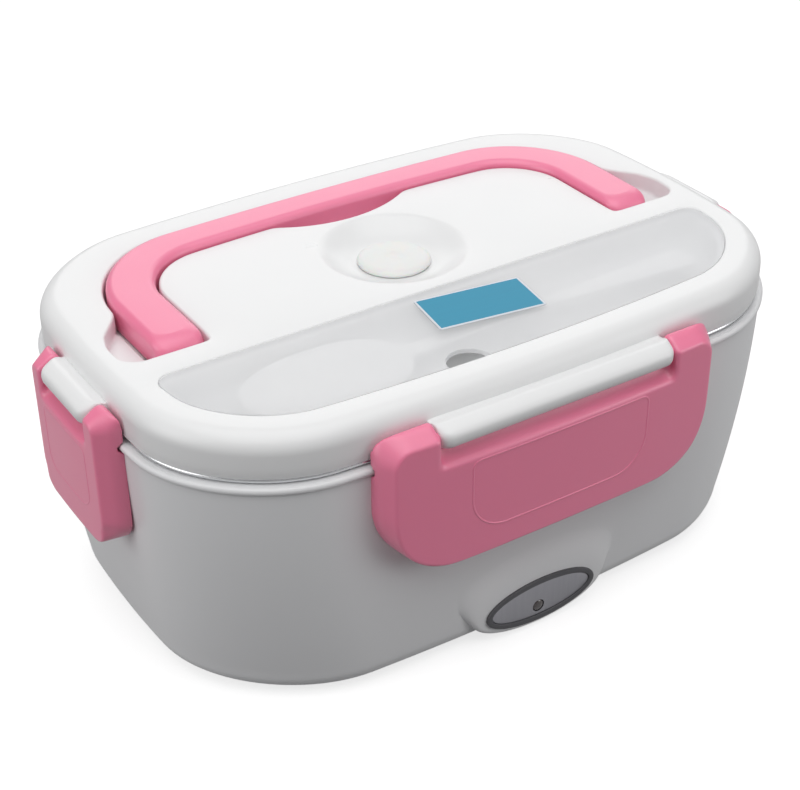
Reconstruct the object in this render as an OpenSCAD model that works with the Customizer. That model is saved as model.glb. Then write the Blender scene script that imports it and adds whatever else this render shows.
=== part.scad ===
// Electric lunch box: a heated base, a lift-out steel tray and a clip-on lid with a folding handle.
// Millimetres, Z up. The origin is on the floor under the middle of the box, the badge side faces -Y.

/* [Lid] */
// Length of the lid over its end skirts
lid_len = 225; // [218:0.5:236]
// Width of the lid over its front and rear skirts
lid_wid = 147.3; // [144:0.1:156]
// Corner radius of the lid seen from above
lid_corner_r = 40; // [36:0.5:44]
// How far the middle of each side bows out beyond its ends
side_bow = 5.6; // [4:0.1:6.5]
// Height of the lid from its skirt edge to its top face
lid_h = 13.4; // [13:0.1:16]
// Rounding of the lid's upper edge
lid_edge_r = 6; // [5:0.1:6.5]
// Wall of the lid's top and of its recesses
lid_wall = 1.8; // [1.5:0.1:2]
// Wall of the lid's skirt
skirt_wall = 2.6; // [2.2:0.1:3]
// Thickness of the plate that closes the lid from below
lid_inner_t = 1.4; // [1.2:0.1:1.6]

/* [Seal] */
// Width of the silicone seal ring
seal_w = 4; // [3:0.1:4.4]
// Height of the silicone seal ring
seal_h = 3; // [2.4:0.1:3.2]

/* [Base] */
// Height of the base from its underside to its rim
base_h = 81.1; // [76:0.1:92]
// How far the base rim stands proud of the lid all round
rim_proud = 1.8; // [1.2:0.1:2.2]
// Height of the rim bead
rim_h = 2.4; // [2:0.1:3]
// How far the rim bead stands proud of the wall below it
bead_proud = 1; // [0.6:0.1:1.2]
// How far each end of the base draws in from the rim to the bottom
end_draw = 5.2; // [3:0.1:7]
// How far the front and rear draw in from the rim to the bottom
side_draw = 2.1; // [1:0.1:3]
// How late the walls draw in, as the power of the depth
draw_power = 1.9; // [1.4:0.1:2.4]
// Rounding between the walls and the bottom
base_fillet = 7.5; // [6:0.5:8.5]
// Wall of the outer tub
tub_wall = 2.2; // [1.8:0.1:2.6]
// Wall of the inner well
well_wall = 1.8; // [1.4:0.1:2.2]
// Height of the rubber feet
foot_h = 1.5; // [1:0.1:2.5]
// Radius of the rubber feet
foot_r = 7; // [5:0.5:9]

/* [Tray] */
// Height of the space for the heater between the base's underside and the tray
under_tray = 17; // [16.5:0.1:19]
// Width of the flange from the lid's skirt line to the tray wall
tray_flange_w = 7.5; // [7:0.1:8.5]
// Sheet thickness of the steel tray
steel_t = 0.6; // [0.5:0.1:1]
// How far the tray wall draws in over its depth
tray_draw = 7.5; // [5:0.1:9]
// Rounding between the tray wall and its floor
tray_fillet = 8; // [6:0.5:10]
// Height of the rolled rim of the tray
roll_h = 1.4; // [1.2:0.1:1.6]
// Gap between the tray and the well
tray_gap = 1.2; // [0.8:0.1:1.6]

/* [Clips] */
// Half width of the front and rear clips
wide_clip_half = 60; // [54:0.5:64]
// Half width of the clips on the two ends
end_clip_half = 24.5; // [22:0.5:27]
// Width of an ear of a front or rear clip
wide_ear_w = 17.6; // [14:0.1:19]
// Width of an ear of an end clip
end_ear_w = 9; // [8:0.1:10]
// Height of the front and rear clips under the hinge axis
wide_clip_drop = 44.2; // [40:0.1:48]
// Height of the end clips under the hinge axis
end_clip_drop = 42.8; // [38:0.1:46]
// Lower corner radius of the front and rear clips
wide_clip_r = 25; // [18:0.5:28]
// Lower corner radius of the end clips
end_clip_r = 9; // [7:0.5:11]
// Distance of the hinge axis outside the lid's skirt
hinge_out = 4.4; // [4.2:0.1:5]
// Distance of the hinge axis above the skirt edge
hinge_up = 4; // [3.8:0.1:4.6]
// Radius of the hinge bar on the lid
bar_r = 3.4; // [3:0.1:3.5]
// Radius of the rounded ear ends about the hinge axis
ear_r = 4.3; // [4:0.05:4.35]
// Radius of the hinge stubs on the ears
stub_r = 1.7; // [1.3:0.1:2]
// Length of the hinge stubs on the ears
stub_l = 3.5; // [2.5:0.1:5]
// Edge rounding of a clip's face
clip_edge_r = 2; // [1.2:0.1:2.4]
// Wall of a clip
clip_wall = 2.4; // [1.8:0.1:2.8]

/* [Handle] */
// Distance of the arms' outer faces from the lid's end skirts
handle_side_inset = 20.2; // [19:0.1:22]
// Distance of the grip's outer face from the lid's rear skirt
handle_rear_inset = 15.9; // [15:0.1:18]
// Width of an arm
arm_w = 15.6; // [13:0.1:17]
// Width of the grip
grip_w = 13.2; // [12:0.1:15]
// Outer corner radius of the handle
handle_corner_r = 34; // [30:0.5:37]
// Thickness of the handle
handle_t = 9.6; // [9:0.1:10]
// How far the folded handle stands above the lid
handle_proud = 2; // [1:0.1:3]
// How far the grip bows to the rear
grip_bow = 3; // [1:0.1:4]
// Edge rounding of the handle
handle_edge_r = 2.6; // [1.5:0.1:3]
// Radius of the handle's pivot stubs
pivot_r = 2.2; // [1.8:0.1:2.4]
// Length of the handle's pivot stubs
pivot_l = 5; // [4:0.1:6]
// Distance of the pivot axis in front of the middle of the lid
pivot_front = 3; // [1:0.1:5]
// Distance of the pivot axis under the handle's top face
pivot_down = 6.4; // [6.2:0.1:6.6]
// Depth of the finger scoop in front of the grip
scoop_d = 9; // [6:0.5:10]
// Half width of the finger scoop
scoop_half = 27; // [22:0.5:32]
// Width of the free pocket outside each arm end
pocket_w = 10.4; // [6:0.1:11]
// Length of the free pocket behind the arm end
pocket_l = 25; // [18:0.5:28]
// Depth of the free pocket
pocket_d = 6; // [4:0.1:6.2]

/* [Spoon compartment] */
// Margin between the lid's skirt and the compartment
trough_inset = 11.5; // [11.4:0.1:14]
// Width of the compartment from front to rear
trough_w = 42; // [38:0.5:44]
// Depth of the compartment under the lid's top
trough_d = 10.5; // [9.5:0.1:10.6]
// Width of the ledge that carries the cover
ledge_w = 2.2; // [1.5:0.1:3]
// Rear corner radius of the compartment
trough_r = 5; // [3:0.5:8]
// Thickness of the cover
cover_t = 1.6; // [1.2:0.1:2]
// Radius of the thumb notch in the cover
notch_r = 7; // [5:0.5:9]
// Distance of the thumb notch to the left of the middle
notch_x = 20; // [10:1:40]
// Length of the spoon
spoon_len = 165; // [150:1:170]
// Width of the spoon's bowl
spoon_w = 31; // [26:0.5:33]
// Depth of the spoon's bowl
spoon_d = 4.6; // [3:0.1:5]
// Thickness of the spoon
spoon_t = 1.4; // [1:0.1:1.8]

/* [Vent] */
// Radius of the vent dish
dish_r = 24; // [20:0.5:24.5]
// Depth of the vent dish
dish_d = 5.2; // [4:0.1:5.4]
// Radius of the silicone vent plug
plug_r = 12; // [10:0.5:14]
// Thickness of the plug's cap
plug_t = 2.2; // [1.8:0.1:2.6]
// Radius of the vent hole
vent_r = 3.2; // [2.6:0.1:3.6]
// Distance of the dish behind the spoon compartment
dish_gap = 5.4; // [3:0.1:7]

/* [Heater and electrics] */
// Length of the heating plate
plate_len = 126; // [110:1:136]
// Width of the heating plate
plate_wid = 76; // [66:1:84]
// Thickness of the heating plate
plate_t = 2; // [1.5:0.1:2.5]
// Margin from each end of the heating plate to the heater block
heater_end = 33; // [30:1:38]
// Margin from the front and rear of the heating plate to the heater block
heater_side = 23; // [20:1:26]
// Thickness of the heater block
heater_t = 5; // [4:0.1:5.4]
// Half length of the badge on the front
badge_half_l = 20.9; // [19:0.1:22]
// Half height of the badge on the front
badge_half_h = 8.05; // [7.6:0.05:8.4]
// Width of the badge's dark ring
badge_ring_w = 2; // [1.5:0.1:2.6]
// Radius of the lamp lens
lens_r = 2.1; // [1.6:0.1:2.4]
// Radius of the inlet pins
pin_r = 1.2; // [1:0.05:1.3]
// Distance between the inlet pins
pin_pitch = 8.6; // [8:0.1:9]
// Free length of the inlet pins
pin_l = 9; // [8:0.5:10]
// Radius of the base screws
screw_r = 1.5; // [1.2:0.1:1.75]

/* [Hidden] */
$fn = 48;

// Clearances: rest between moving parts, running at pins, and the extra length of a cut
rest_gap = 0.3;
run_gap = 0.06;
over = 1;

// Heights above the floor
z_rim = foot_h + base_h;
z_bead = z_rim - rim_h;
z_flange = z_rim + rest_gap;
z_skirt = z_flange + roll_h + rest_gap;
z_top = z_skirt + lid_h;
z_hinge = z_skirt + hinge_up;
z_tray = foot_h + under_tray;
tray_depth = z_flange - z_tray;

// Half sizes of the lid outline
lid_a = lid_len / 2;
lid_b = lid_wid / 2;

// Points in each straight stretch and corner of an outline, and steps in a small rounding
side_n = 3;
corner_n = 7;
long_n = 4;
round_n = 3;
wall_n = 5;

// A quarter of a rounded rectangle whose sides bow out, from the X axis to just before the Y axis
function quarter(a, b, r) = concat(
  [for (i = [0:side_n - 1]) [a, (b - r) * i / side_n]],
  [for (i = [0:corner_n]) [a - r + r * cos(turn_at(i, corner_n)), b - r + r * sin(turn_at(i, corner_n))]],
  [for (i = [1:long_n - 1]) [(a - r) * (1 - i / long_n), b]]);
function bow_point(p, a, b, bow) =
  [p[0] - bow * pow(p[1] / b, 2) * p[0] / a, p[1] - bow * pow(p[0] / a, 2) * p[1] / b];
function half_outline(a, b, r, bow) = let (q = quarter(a, b, r), n = len(q)) concat(
  [for (p = q) bow_point(p, a, b, bow)],
  [[0, b]],
  [for (i = [n - 1:-1:1]) bow_point([-q[i][0], q[i][1]], a, b, bow)]);
function outline(a, b, r, bow = side_bow) = let (h = half_outline(a, b, r, bow)) concat(h, [for (p = h) -p]);
function lid_outline(d) = outline(lid_a - d, lid_b - d, lid_corner_r - d);
function at_height(points, z) = [for (p = points) [p[0], p[1], z]];
// The angle of step i of n in a quarter turn
function turn_at(i, n) = 90 * i / n;
function backwards(list) = [for (i = [len(list) - 1:-1:0]) list[i]];

// A closed skin over rings of equally many points, with flat end faces
module skin(rings) {
  n = len(rings[0]);
  m = len(rings);
  polyhedron(
    points = [for (ring = rings) each ring],
    faces = concat(
      [[for (i = [0:n - 1]) i]],
      [for (j = [0:m - 2]) for (i = [0:n - 1])
        [j * n + i, (j + 1) * n + i, (j + 1) * n + (i + 1) % n, j * n + (i + 1) % n]],
      [[for (i = [n - 1:-1:0]) (m - 1) * n + i]]));
}

// The same skin with bent end faces, closed by strips between its lower and upper edge
module strip_skin(rings) {
  n = len(rings[0]);
  m = len(rings);
  last = (m - 1) * n;
  polyhedron(
    points = [for (ring = rings) each ring],
    faces = concat(
      [for (i = [0:n / 2 - 2]) [i, i + 1, n - 2 - i, n - 1 - i]],
      [for (j = [0:m - 2]) for (i = [0:n - 1])
        [j * n + i, (j + 1) * n + i, (j + 1) * n + (i + 1) % n, j * n + (i + 1) % n]],
      [for (i = [0:n / 2 - 2]) [last + n - 1 - i, last + n - 2 - i, last + i + 1, last + i]]));
}

module prism(points, z0, z1) translate([0, 0, z0]) linear_extrude(z1 - z0) polygon(points);

module rod_x(r, x0, x1, y, z) translate([x0, y, z]) rotate([0, 90, 0]) cylinder(r = r, h = x1 - x0);

module rod_y(r, y0, y1, x, z) translate([x, y1, z]) rotate([90, 0, 0]) cylinder(r = r, h = y1 - y0);

module mirror_x() {
  children();
  mirror([1, 0, 0]) children();
}

module round_rect(l, w, r) {
  square([l - 2 * r, w], center = true);
  square([l, w - 2 * r], center = true);
  for (sx = [-1, 1]) for (sy = [-1, 1]) translate([sx * (l / 2 - r), sy * (w / 2 - r)]) circle(r);
}

// Base: the outer tub

rim_a = lid_a + rim_proud;
rim_b = lid_b + rim_proud;
rim_r = lid_corner_r + rim_proud;
low_corner_grow = 5.5;
z_wall = foot_h + base_fillet;

function tub_outline(z, d) =
  let (k = pow(min(1, max(0, (z_bead - z) / (z_bead - z_wall))), draw_power))
  outline(rim_a - bead_proud - end_draw * k - d, rim_b - bead_proud - side_draw * k - d,
    rim_r - bead_proud + low_corner_grow * k - d);
function tub_rings(d, top) = let (f = base_fillet - d) concat(
  [for (i = [0:round_n - 1]) let (t = turn_at(i, round_n), z = foot_h + d + f * (1 - cos(t)))
    at_height(tub_outline(z_wall, d + f * (1 - sin(t))), z)],
  [for (i = [0:wall_n]) let (z = z_wall + (z_bead - z_wall) * i / wall_n) at_height(tub_outline(z, d), z)],
  top > 0 ? [at_height(tub_outline(z_bead, d), z_bead + top)] : []);

badge_z = foot_h + 0.9 + badge_half_h;
boss_l = badge_half_l + 4.2;
boss_h = badge_half_h + 2;
boss_y = lid_b + 0.9;
boss_depth = 10;
lens_drop = 2.5;
lens_x = -1;
flange_l = 19;
flange_h = 7.6;
inlet_half_l = 11.5;
inlet_half_h = 6.6;
recess_half_l = 8.2;
recess_half_h = 3.9;
inlet_floor_t = 2;
inlet_depth = pin_l + 2 + inlet_floor_t;
inlet_face = boss_y + 0.9;
inlet_back = inlet_face - inlet_depth;
function ellipse(l, h) = [for (i = [0:47]) [l * cos(7.5 * i), h * sin(7.5 * i)]];
// The soft oval pad that carries the badge in front and the inlet at the rear
boss_steps = [[0, 0], [8.2, 0], [9.1, 0.2], [9.7, 0.5], [boss_depth, 1.1]];
module boss(rear) rotate([0, 0, rear ? 180 : 0]) skin([for (step = boss_steps)
  [for (p = ellipse(boss_l - step[1] * 1.6, boss_h - step[1] * 0.9))
    [p[0], boss_depth - boss_y - step[0], badge_z + p[1]]]]);
// An upright elliptical slab between two distances from the middle, on the front or the rear
module oval(l, h, y0, y1, rear = false) rotate([0, 0, rear ? 180 : 0])
  translate([0, -y0, badge_z]) rotate([90, 0, 0]) linear_extrude(y1 - y0) polygon(ellipse(l, h));

screw_x = 62;
screw_y = 38;
cup_h = 5;
head_r = 2 * screw_r + 0.2;
foot_x = 82;
foot_y = 46;
module at_screws() for (sx = [-1, 1]) for (sy = [-1, 1])
  translate([sx * screw_x, sy * screw_y]) children();

module outer_tub() color("whitesmoke") difference() {
  union() {
    difference() {
      skin(tub_rings(0, 0));
      skin(tub_rings(tub_wall, over));
    }
    for (rear = [false, true]) boss(rear);
    at_screws() translate([0, 0, foot_h]) cylinder(r = head_r + tub_wall, h = cup_h);
  }
  at_screws() {
    translate([0, 0, foot_h - over]) cylinder(r = head_r + rest_gap, h = cup_h - tub_wall + over);
    cylinder(r = screw_r + rest_gap, h = foot_h + cup_h + over);
  }
  oval(badge_half_l - badge_ring_w, badge_half_h - badge_ring_w,
    boss_y - boss_depth - over, boss_y - tub_wall);
  rod_y(lens_r + rest_gap, -boss_y - over, -boss_y + boss_depth, lens_x, badge_z - lens_drop);
  rear_slab(boss_y - boss_depth, boss_y + over) stadium(inlet_half_l + run_gap, inlet_half_h + run_gap);
}

// Base: the inner well with the rim bead

tray_r = lid_corner_r - tray_flange_w;
tray_corner_shrink = 5;
function well_outline(z, d) = let (k = (z_flange - z) / tray_depth)
  outline(lid_a - tray_flange_w - tray_draw * k - d, lid_b - tray_flange_w - tray_draw * k - d,
    tray_r - tray_corner_shrink * k - d);
function cup_rings(z0, z1, d, f) = concat(
  [for (i = [0:round_n - 1]) let (t = turn_at(i, round_n), z = z0 + f * (1 - cos(t)))
    at_height(well_outline(z0 + f, d + f * (1 - sin(t))), z)],
  [for (z = [z0 + f, z1]) at_height(well_outline(z, d), z)]);
plate_seal_t = 1;
plate_stand = 0.4;
plate_corner_r = 6;
well_in = -tray_gap;
well_out = -tray_gap - well_wall;
z_plate_top = z_tray - rest_gap;
z_plate = z_plate_top - plate_t;
z_seal0 = z_plate - plate_seal_t;
z_well = z_seal0 + plate_seal_t + plate_stand;
z_well_under = z_well - well_wall - plate_stand;
plate_lip = 5;
heater_len = plate_len - 2 * heater_end;
heater_wid = plate_wid - 2 * heater_side;
plate_pad_t = 1;
z_heater = z_plate - plate_pad_t - heater_t;
clamp_w = 14;
clamp_t = 1;
clamp_y = plate_wid / 2 + 3;
clamp_screw_r = 1.5;
clamp_head_r = 2.8;
clamp_head_h = 1.8;
clamp_post_r = 4.2;
z_clamp = z_heater - clamp_t;
clamp_hole = z_well_under + 0.9 - z_clamp;
bead_steps = [[0, 0.5], [0.35, 0.08], [0.7, 0.08], [1, 0.6]];

module inner_liner() color("white") difference() {
  union() {
    skin(cup_rings(z_well_under, z_rim - rim_h / 2, well_out, tray_fillet + well_wall));
    skin([for (s = bead_steps)
      at_height(outline(rim_a - s[1], rim_b - s[1], rim_r - s[1]), z_bead + s[0] * rim_h)]);
    at_screws() translate([0, 0, foot_h + cup_h])
      cylinder(r = 2.4 * screw_r, h = z_well_under + over - foot_h - cup_h);
    clamp_posts();
  }
  skin(cup_rings(z_well, z_rim + over, well_in, tray_fillet));
  translate([0, 0, z_well_under - over]) linear_extrude(z_well - z_well_under + 2 * over)
    round_rect(plate_len - 2 * plate_lip, plate_wid - 2 * plate_lip, plate_corner_r);
  translate([0, 0, z_seal0]) linear_extrude(z_well - z_seal0 + over)
    round_rect(plate_len + 2 * rest_gap, plate_wid + 2 * rest_gap, plate_corner_r + plate_lip);
  at_screws() translate([0, 0, foot_h]) cylinder(r = screw_r + run_gap, h = z_well_under - foot_h + 0.6);
  for (sy = [-1, 1]) translate([0, sy * clamp_y, z_clamp])
    cylinder(r = clamp_screw_r + run_gap, h = clamp_hole);
}

module plate_seal() color("gray") translate([0, 0, z_seal0]) linear_extrude(plate_seal_t) difference() {
  round_rect(plate_len, plate_wid, plate_corner_r + plate_lip);
  round_rect(plate_len - 2 * plate_lip, plate_wid - 2 * plate_lip, plate_corner_r);
}

module heating_plate() color("silver") {
  translate([0, 0, z_plate]) linear_extrude(plate_t)
    round_rect(plate_len - 0.4, plate_wid - 0.4, plate_corner_r + plate_lip);
  translate([0, 0, z_plate - plate_pad_t]) linear_extrude(plate_pad_t + 0.01)
    round_rect(heater_len + 2 * plate_lip, heater_wid + 2 * plate_lip, plate_corner_r);
}

module ptc_heater() color("lightsteelblue") {
  translate([0, 0, z_heater]) linear_extrude(heater_t) round_rect(heater_len, heater_wid, 2);
  for (sy = [-1, 1]) translate([heater_len / 2 - over, sy * heater_tab_y, z_heater + heater_t / 2])
    rotate([0, 90, 0]) cylinder(r = heater_tab_r, h = heater_tab_l + over);
}

heater_tab_r = 1;
heater_tab_l = 4;
heater_tab_y = 7;

// The spring strap that presses the heater against the plate

module clamp_posts() for (sy = [-1, 1]) translate([0, sy * clamp_y, z_heater])
  cylinder(r = clamp_post_r, h = z_well_under - z_heater + over);

module heater_clamp() color("darkgray") difference() {
  translate([0, 0, z_clamp]) linear_extrude(clamp_t) union() {
    square([clamp_w, 2 * clamp_y], center = true);
    for (sy = [-1, 1]) translate([0, sy * clamp_y]) circle(clamp_w / 2);
  }
  for (sy = [-1, 1]) translate([0, sy * clamp_y, z_clamp - over])
    cylinder(r = clamp_screw_r + 0.1, h = clamp_t + 2 * over);
}

module clamp_screws() color("silver") for (sy = [-1, 1]) translate([0, sy * clamp_y, 0]) {
  translate([0, 0, z_clamp - clamp_head_h]) cylinder(r = clamp_head_r, h = clamp_head_h);
  translate([0, 0, z_clamp - 0.01]) cylinder(r = clamp_screw_r, h = clamp_hole - 0.3);
}

fuse_r = 2;
fuse_l = 12;
fuse_x = -heater_len / 2 - 12;
fuse_saddle_t = 1;

// The thermal cut-out in its saddle under the heating plate
module thermal_fuse() color("sienna") {
  rod_y(fuse_r, -fuse_l / 2, fuse_l / 2, fuse_x, z_plate - fuse_saddle_t - fuse_r);
  translate([fuse_x, 0, z_plate - fuse_saddle_t / 2 - fuse_r / 2])
    cube([2 * fuse_r, fuse_l * 0.6, fuse_saddle_t + fuse_r], center = true);
  translate([fuse_x, 0, z_plate - fuse_saddle_t / 2])
    cube([4 * fuse_r, fuse_l * 0.6, fuse_saddle_t], center = true);
}

// A lead of round section through a list of points, with its bends cut twice at their quarters
function soften(p) = concat([p[0]],
  [for (i = [0:len(p) - 2]) each [p[i] * 0.75 + p[i + 1] * 0.25, p[i] * 0.25 + p[i + 1] * 0.75]],
  [p[len(p) - 1]]);
function unit(v) = v / norm(v);
function lead_ring(p, i, r) = let (
    t = unit(p[min(i + 1, len(p) - 1)] - p[max(i - 1, 0)]),
    side = unit(cross(t, [0, 0, 1])),
    rise = cross(side, t)
  ) [for (k = [7:-1:0]) p[i] + r * (cos(45 * k) * side + sin(45 * k) * rise)];
module lead(points, r) {
  p = soften(soften(points));
  skin([for (i = [0:len(p) - 1]) lead_ring(p, i, r)]);
}

lead_r = 0.9;
z_lead = foot_h + tub_wall + lead_r + 0.3;
z_fuse = z_plate - fuse_saddle_t - fuse_r;
z_tab = z_heater + heater_t / 2;
pin_tail_l = 3;
pin_tail_y = inlet_back - pin_tail_l;
lead_front = plate_wid / 2 - 10;
module heater_wires() color("firebrick") {
  // From the left pin past the heater to the cut-out, and on to the heater's front tab
  lead([[pin_pitch / 2, pin_tail_y, badge_z], [pin_pitch / 2, pin_tail_y - pin_tail_l, badge_z],
    [pin_pitch / 2, inlet_back - 10, z_lead],
    [fuse_x, inlet_back - 14, z_lead], [fuse_x, fuse_l / 2 + 6, z_fuse],
    [fuse_x, fuse_l / 2, z_fuse]], lead_r);
  lead([[fuse_x, -fuse_l / 2, z_fuse], [fuse_x, -fuse_l / 2 - 6, z_fuse],
    [fuse_x + 12, -lead_front, z_lead],
    [heater_len / 2 + 8, -lead_front, z_lead], [heater_len / 2 + 10, -heater_tab_y, z_tab],
    [heater_len / 2 + heater_tab_l, -heater_tab_y, z_tab]], lead_r);
  // From the right pin to the heater's rear tab
  lead([[-pin_pitch / 2, pin_tail_y, badge_z], [-pin_pitch / 2, pin_tail_y - pin_tail_l, badge_z],
    [-pin_pitch / 2 + 3, inlet_back - 8, z_lead + 2.4],
    [heater_len / 2 + 12, inlet_back - 8, z_lead + 2.4], [heater_len / 2 + 12, heater_tab_y, z_tab],
    [heater_len / 2 + heater_tab_l, heater_tab_y, z_tab]], lead_r);
}

// Rear: the two-pin inlet

module stadium(half_l, half_h) {
  square([2 * (half_l - half_h), 2 * half_h], center = true);
  for (s = [-1, 1]) translate([s * (half_l - half_h), 0]) circle(half_h);
}

module rear_slab(y0, y1) translate([0, y1, badge_z]) rotate([90, 0, 0]) linear_extrude(y1 - y0) children();

module inlet_housing() color("dimgray") difference() {
  union() {
    oval(flange_l, flange_h, boss_y, inlet_face, true);
    rear_slab(inlet_back, boss_y + 0.01) stadium(inlet_half_l, inlet_half_h);
  }
  rear_slab(inlet_back + inlet_floor_t, inlet_face + over) stadium(recess_half_l, recess_half_h);
  for (s = [-1, 1])
    rod_y(collar_r, inlet_back - over, inlet_back + inlet_floor_t + over, s * pin_pitch / 2, badge_z);
}

// Each pin stands on a collar that is pressed into the housing's floor, with a thin tail for the lead
collar_r = pin_r + 0.5;
collar_proud = 0.5;
collar_y = inlet_back + inlet_floor_t + collar_proud;
tail_r = pin_r - 0.2;
module inlet_pins() color("gold") for (s = [-1, 1]) {
  rod_y(pin_r, collar_y - collar_proud, collar_y + pin_l, s * pin_pitch / 2, badge_z);
  rod_y(collar_r, inlet_back - collar_proud, collar_y, s * pin_pitch / 2, badge_z);
  rod_y(tail_r, pin_tail_y, inlet_back, s * pin_pitch / 2, badge_z);
}

// Front: the indicator badge

badge_t = 0.9;
plate_proud = 0.5;
lens_proud = 0.7;
board_t = 1.2;
board_l = 24;
board_h = 8;
board_gap = 3.6;
board_y = boss_y - tub_wall - board_gap;
board_peg_r = 1.2;
board_peg_in = 2;

module badge_ring() color("dimgray") difference() {
  oval(badge_half_l, badge_half_h, boss_y, boss_y + badge_t);
  oval(badge_half_l - badge_ring_w, badge_half_h - badge_ring_w, boss_y - over, boss_y + badge_t + over);
}

module badge_plate() color("darkgray") difference() {
  oval(badge_half_l - badge_ring_w - 0.1, badge_half_h - badge_ring_w - 0.1, boss_y, boss_y + plate_proud);
  rod_y(lens_r + 0.1, -boss_y - badge_t - over, -boss_y + over, lens_x, badge_z - lens_drop);
}

module lamp_lens() color("black") {
  rod_y(lens_r, -boss_y - lens_proud, -board_y - board_t, lens_x, badge_z - lens_drop);
  rod_y(lens_r + 0.8, -boss_y + tub_wall + 0.3, -board_y - board_t, lens_x, badge_z - lens_drop);
}

module lamp_board() color("seagreen") {
  translate([-board_l / 2, -board_y - board_t, badge_z - board_h / 2]) cube([board_l, board_t, board_h]);
  for (s = [-1, 1])
    rod_y(board_peg_r, tub_wall - boss_y, -board_y, s * (board_l / 2 - board_peg_in), badge_z);
}

// Underside: screws and feet

module base_screws() color("silver") at_screws() {
  translate([0, 0, foot_h + cup_h - tub_wall - screw_r]) cylinder(r = head_r, h = screw_r);
  translate([0, 0, foot_h + cup_h - tub_wall - 0.01])
    cylinder(r = screw_r, h = z_well_under - foot_h - cup_h + tub_wall);
}

module rubber_feet() color("gray") for (sx = [-1, 1]) for (sy = [-1, 1])
  translate([sx * foot_x, sy * foot_y])
    rotate_extrude() polygon([[0, 0], [foot_r - 0.5, 0], [foot_r, 0.5], [foot_r, foot_h], [0, foot_h]]);

// The steel tray

// Steps of the rolled rim: share of its height, and distance inside the lid's outline
roll_steps = [[0, 0.7], [0.3, 0.2], [0.7, 0.2], [1, 0.7]];
roll_w = 1.7;
module steel_tray() color("lightgray") difference() {
  union() {
    skin(cup_rings(z_tray, z_flange + steel_t, 0, tray_fillet));
    skin([for (s = roll_steps) at_height(lid_outline(s[1]), z_flange + s[0] * roll_h)]);
  }
  skin(cup_rings(z_tray + steel_t, z_flange + roll_h + over, steel_t, tray_fillet - steel_t));
  prism(lid_outline(roll_w), z_flange + steel_t, z_flange + roll_h + over);
}

// Recesses in the lid's top

trough_front = -(lid_b - trough_inset);
trough_rear = trough_front + trough_w;
z_ledge = z_top - cover_t - rest_gap;
z_trough = z_top - trough_d;
// The compartment follows the lid's outline in front and ends in a straight rear edge with round corners
function trough_side(y, d) = lid_a - trough_inset - d - side_bow * pow(y / (lid_b - trough_inset), 2);
function trough_points(d) = let (
    yr = trough_rear - d,
    r = max(1, trough_r - d),
    xs = trough_side(yr - r, d)
  ) concat(
  [for (p = lid_outline(trough_inset + d)) if (p[1] < yr - r - 1) p],
  [for (i = [0:3]) [xs - r + r * cos(30 * i), yr - r + r * sin(30 * i)]],
  [for (i = [3:-1:0]) [-xs + r - r * cos(30 * i), yr - r + r * sin(30 * i)]]);

handle_a = lid_a - handle_side_inset;
handle_b = lid_b - handle_rear_inset;
handle_top = z_top + handle_proud;
handle_low = handle_top - handle_t;
z_pivot = handle_top - pivot_down;
pivot_y = -pivot_front;
channel_gap = 0.9;
z_channel = handle_low - 0.4;
pivot_clear = pivot_down + 0.4;
arm_in = handle_a - arm_w;
grip_in = handle_b - grip_w;
inner_corner_r = handle_corner_r - grip_w;

// An arch from the right foot over the rear to the left foot
function arch_half(a, b, r, bow, y0) = concat(
  [[a, y0]],
  [for (i = [0:corner_n])
    let (p = [a - r + r * cos(turn_at(i, corner_n)), b - r + r * sin(turn_at(i, corner_n))])
      [p[0], p[1] - bow * pow(p[0] / a, 2)]],
  [for (i = [1:long_n - 1]) let (x = (a - r) * (1 - i / long_n)) [x, b - bow * pow(x / a, 2)]]);
function arch(a, b, r, bow, y0) = let (h = arch_half(a, b, r, bow, y0)) concat(
  h, [[0, b]], [for (p = backwards(h)) [-p[0], p[1]]]);
function u_points(d, y0) = concat(
  arch(handle_a - d, handle_b - d, handle_corner_r - d, grip_bow, y0),
  backwards(arch(arm_in + d, grip_in + d, inner_corner_r + d, grip_bow, y0)));

scoop_r = (scoop_half * scoop_half + scoop_d * scoop_d) / (2 * scoop_d);
pocket_front = pivot_y - pivot_clear;
pocket_out = handle_a + channel_gap + pocket_w;
z_pocket = z_top - pocket_d;
vent_y = trough_rear + dish_gap + dish_r;
z_dish = z_top - dish_d;
plug_foot_r = vent_r + 1;

z_inner = z_flange + steel_t + rest_gap;
z_inner_top = z_inner + lid_inner_t;
post_r = 2.6;
post_x = 58;

module pocket_shape(d) translate([0, pocket_front - d]) mirror_x()
  translate([arm_in - channel_gap - d, 0]) union() {
    square([pocket_out - arm_in + channel_gap + 2 * d - 6, pocket_l + 2 * d]);
    square([pocket_out - arm_in + channel_gap + 2 * d, pocket_l + 2 * d - 6]);
    translate([pocket_out - arm_in + channel_gap + 2 * d - 6, pocket_l + 2 * d - 6]) circle(6);
  }

module channel_shape(d) polygon(u_points(-channel_gap - d, pivot_y));

module scoop_shape(d) intersection() {
  translate([0, grip_in - scoop_d + scoop_r - d]) circle(scoop_r, $fn = 96);
  translate([-lid_a, grip_in - scoop_d - 2 * lid_wall]) square([lid_len, scoop_d + 3 * lid_wall]);
}

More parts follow.
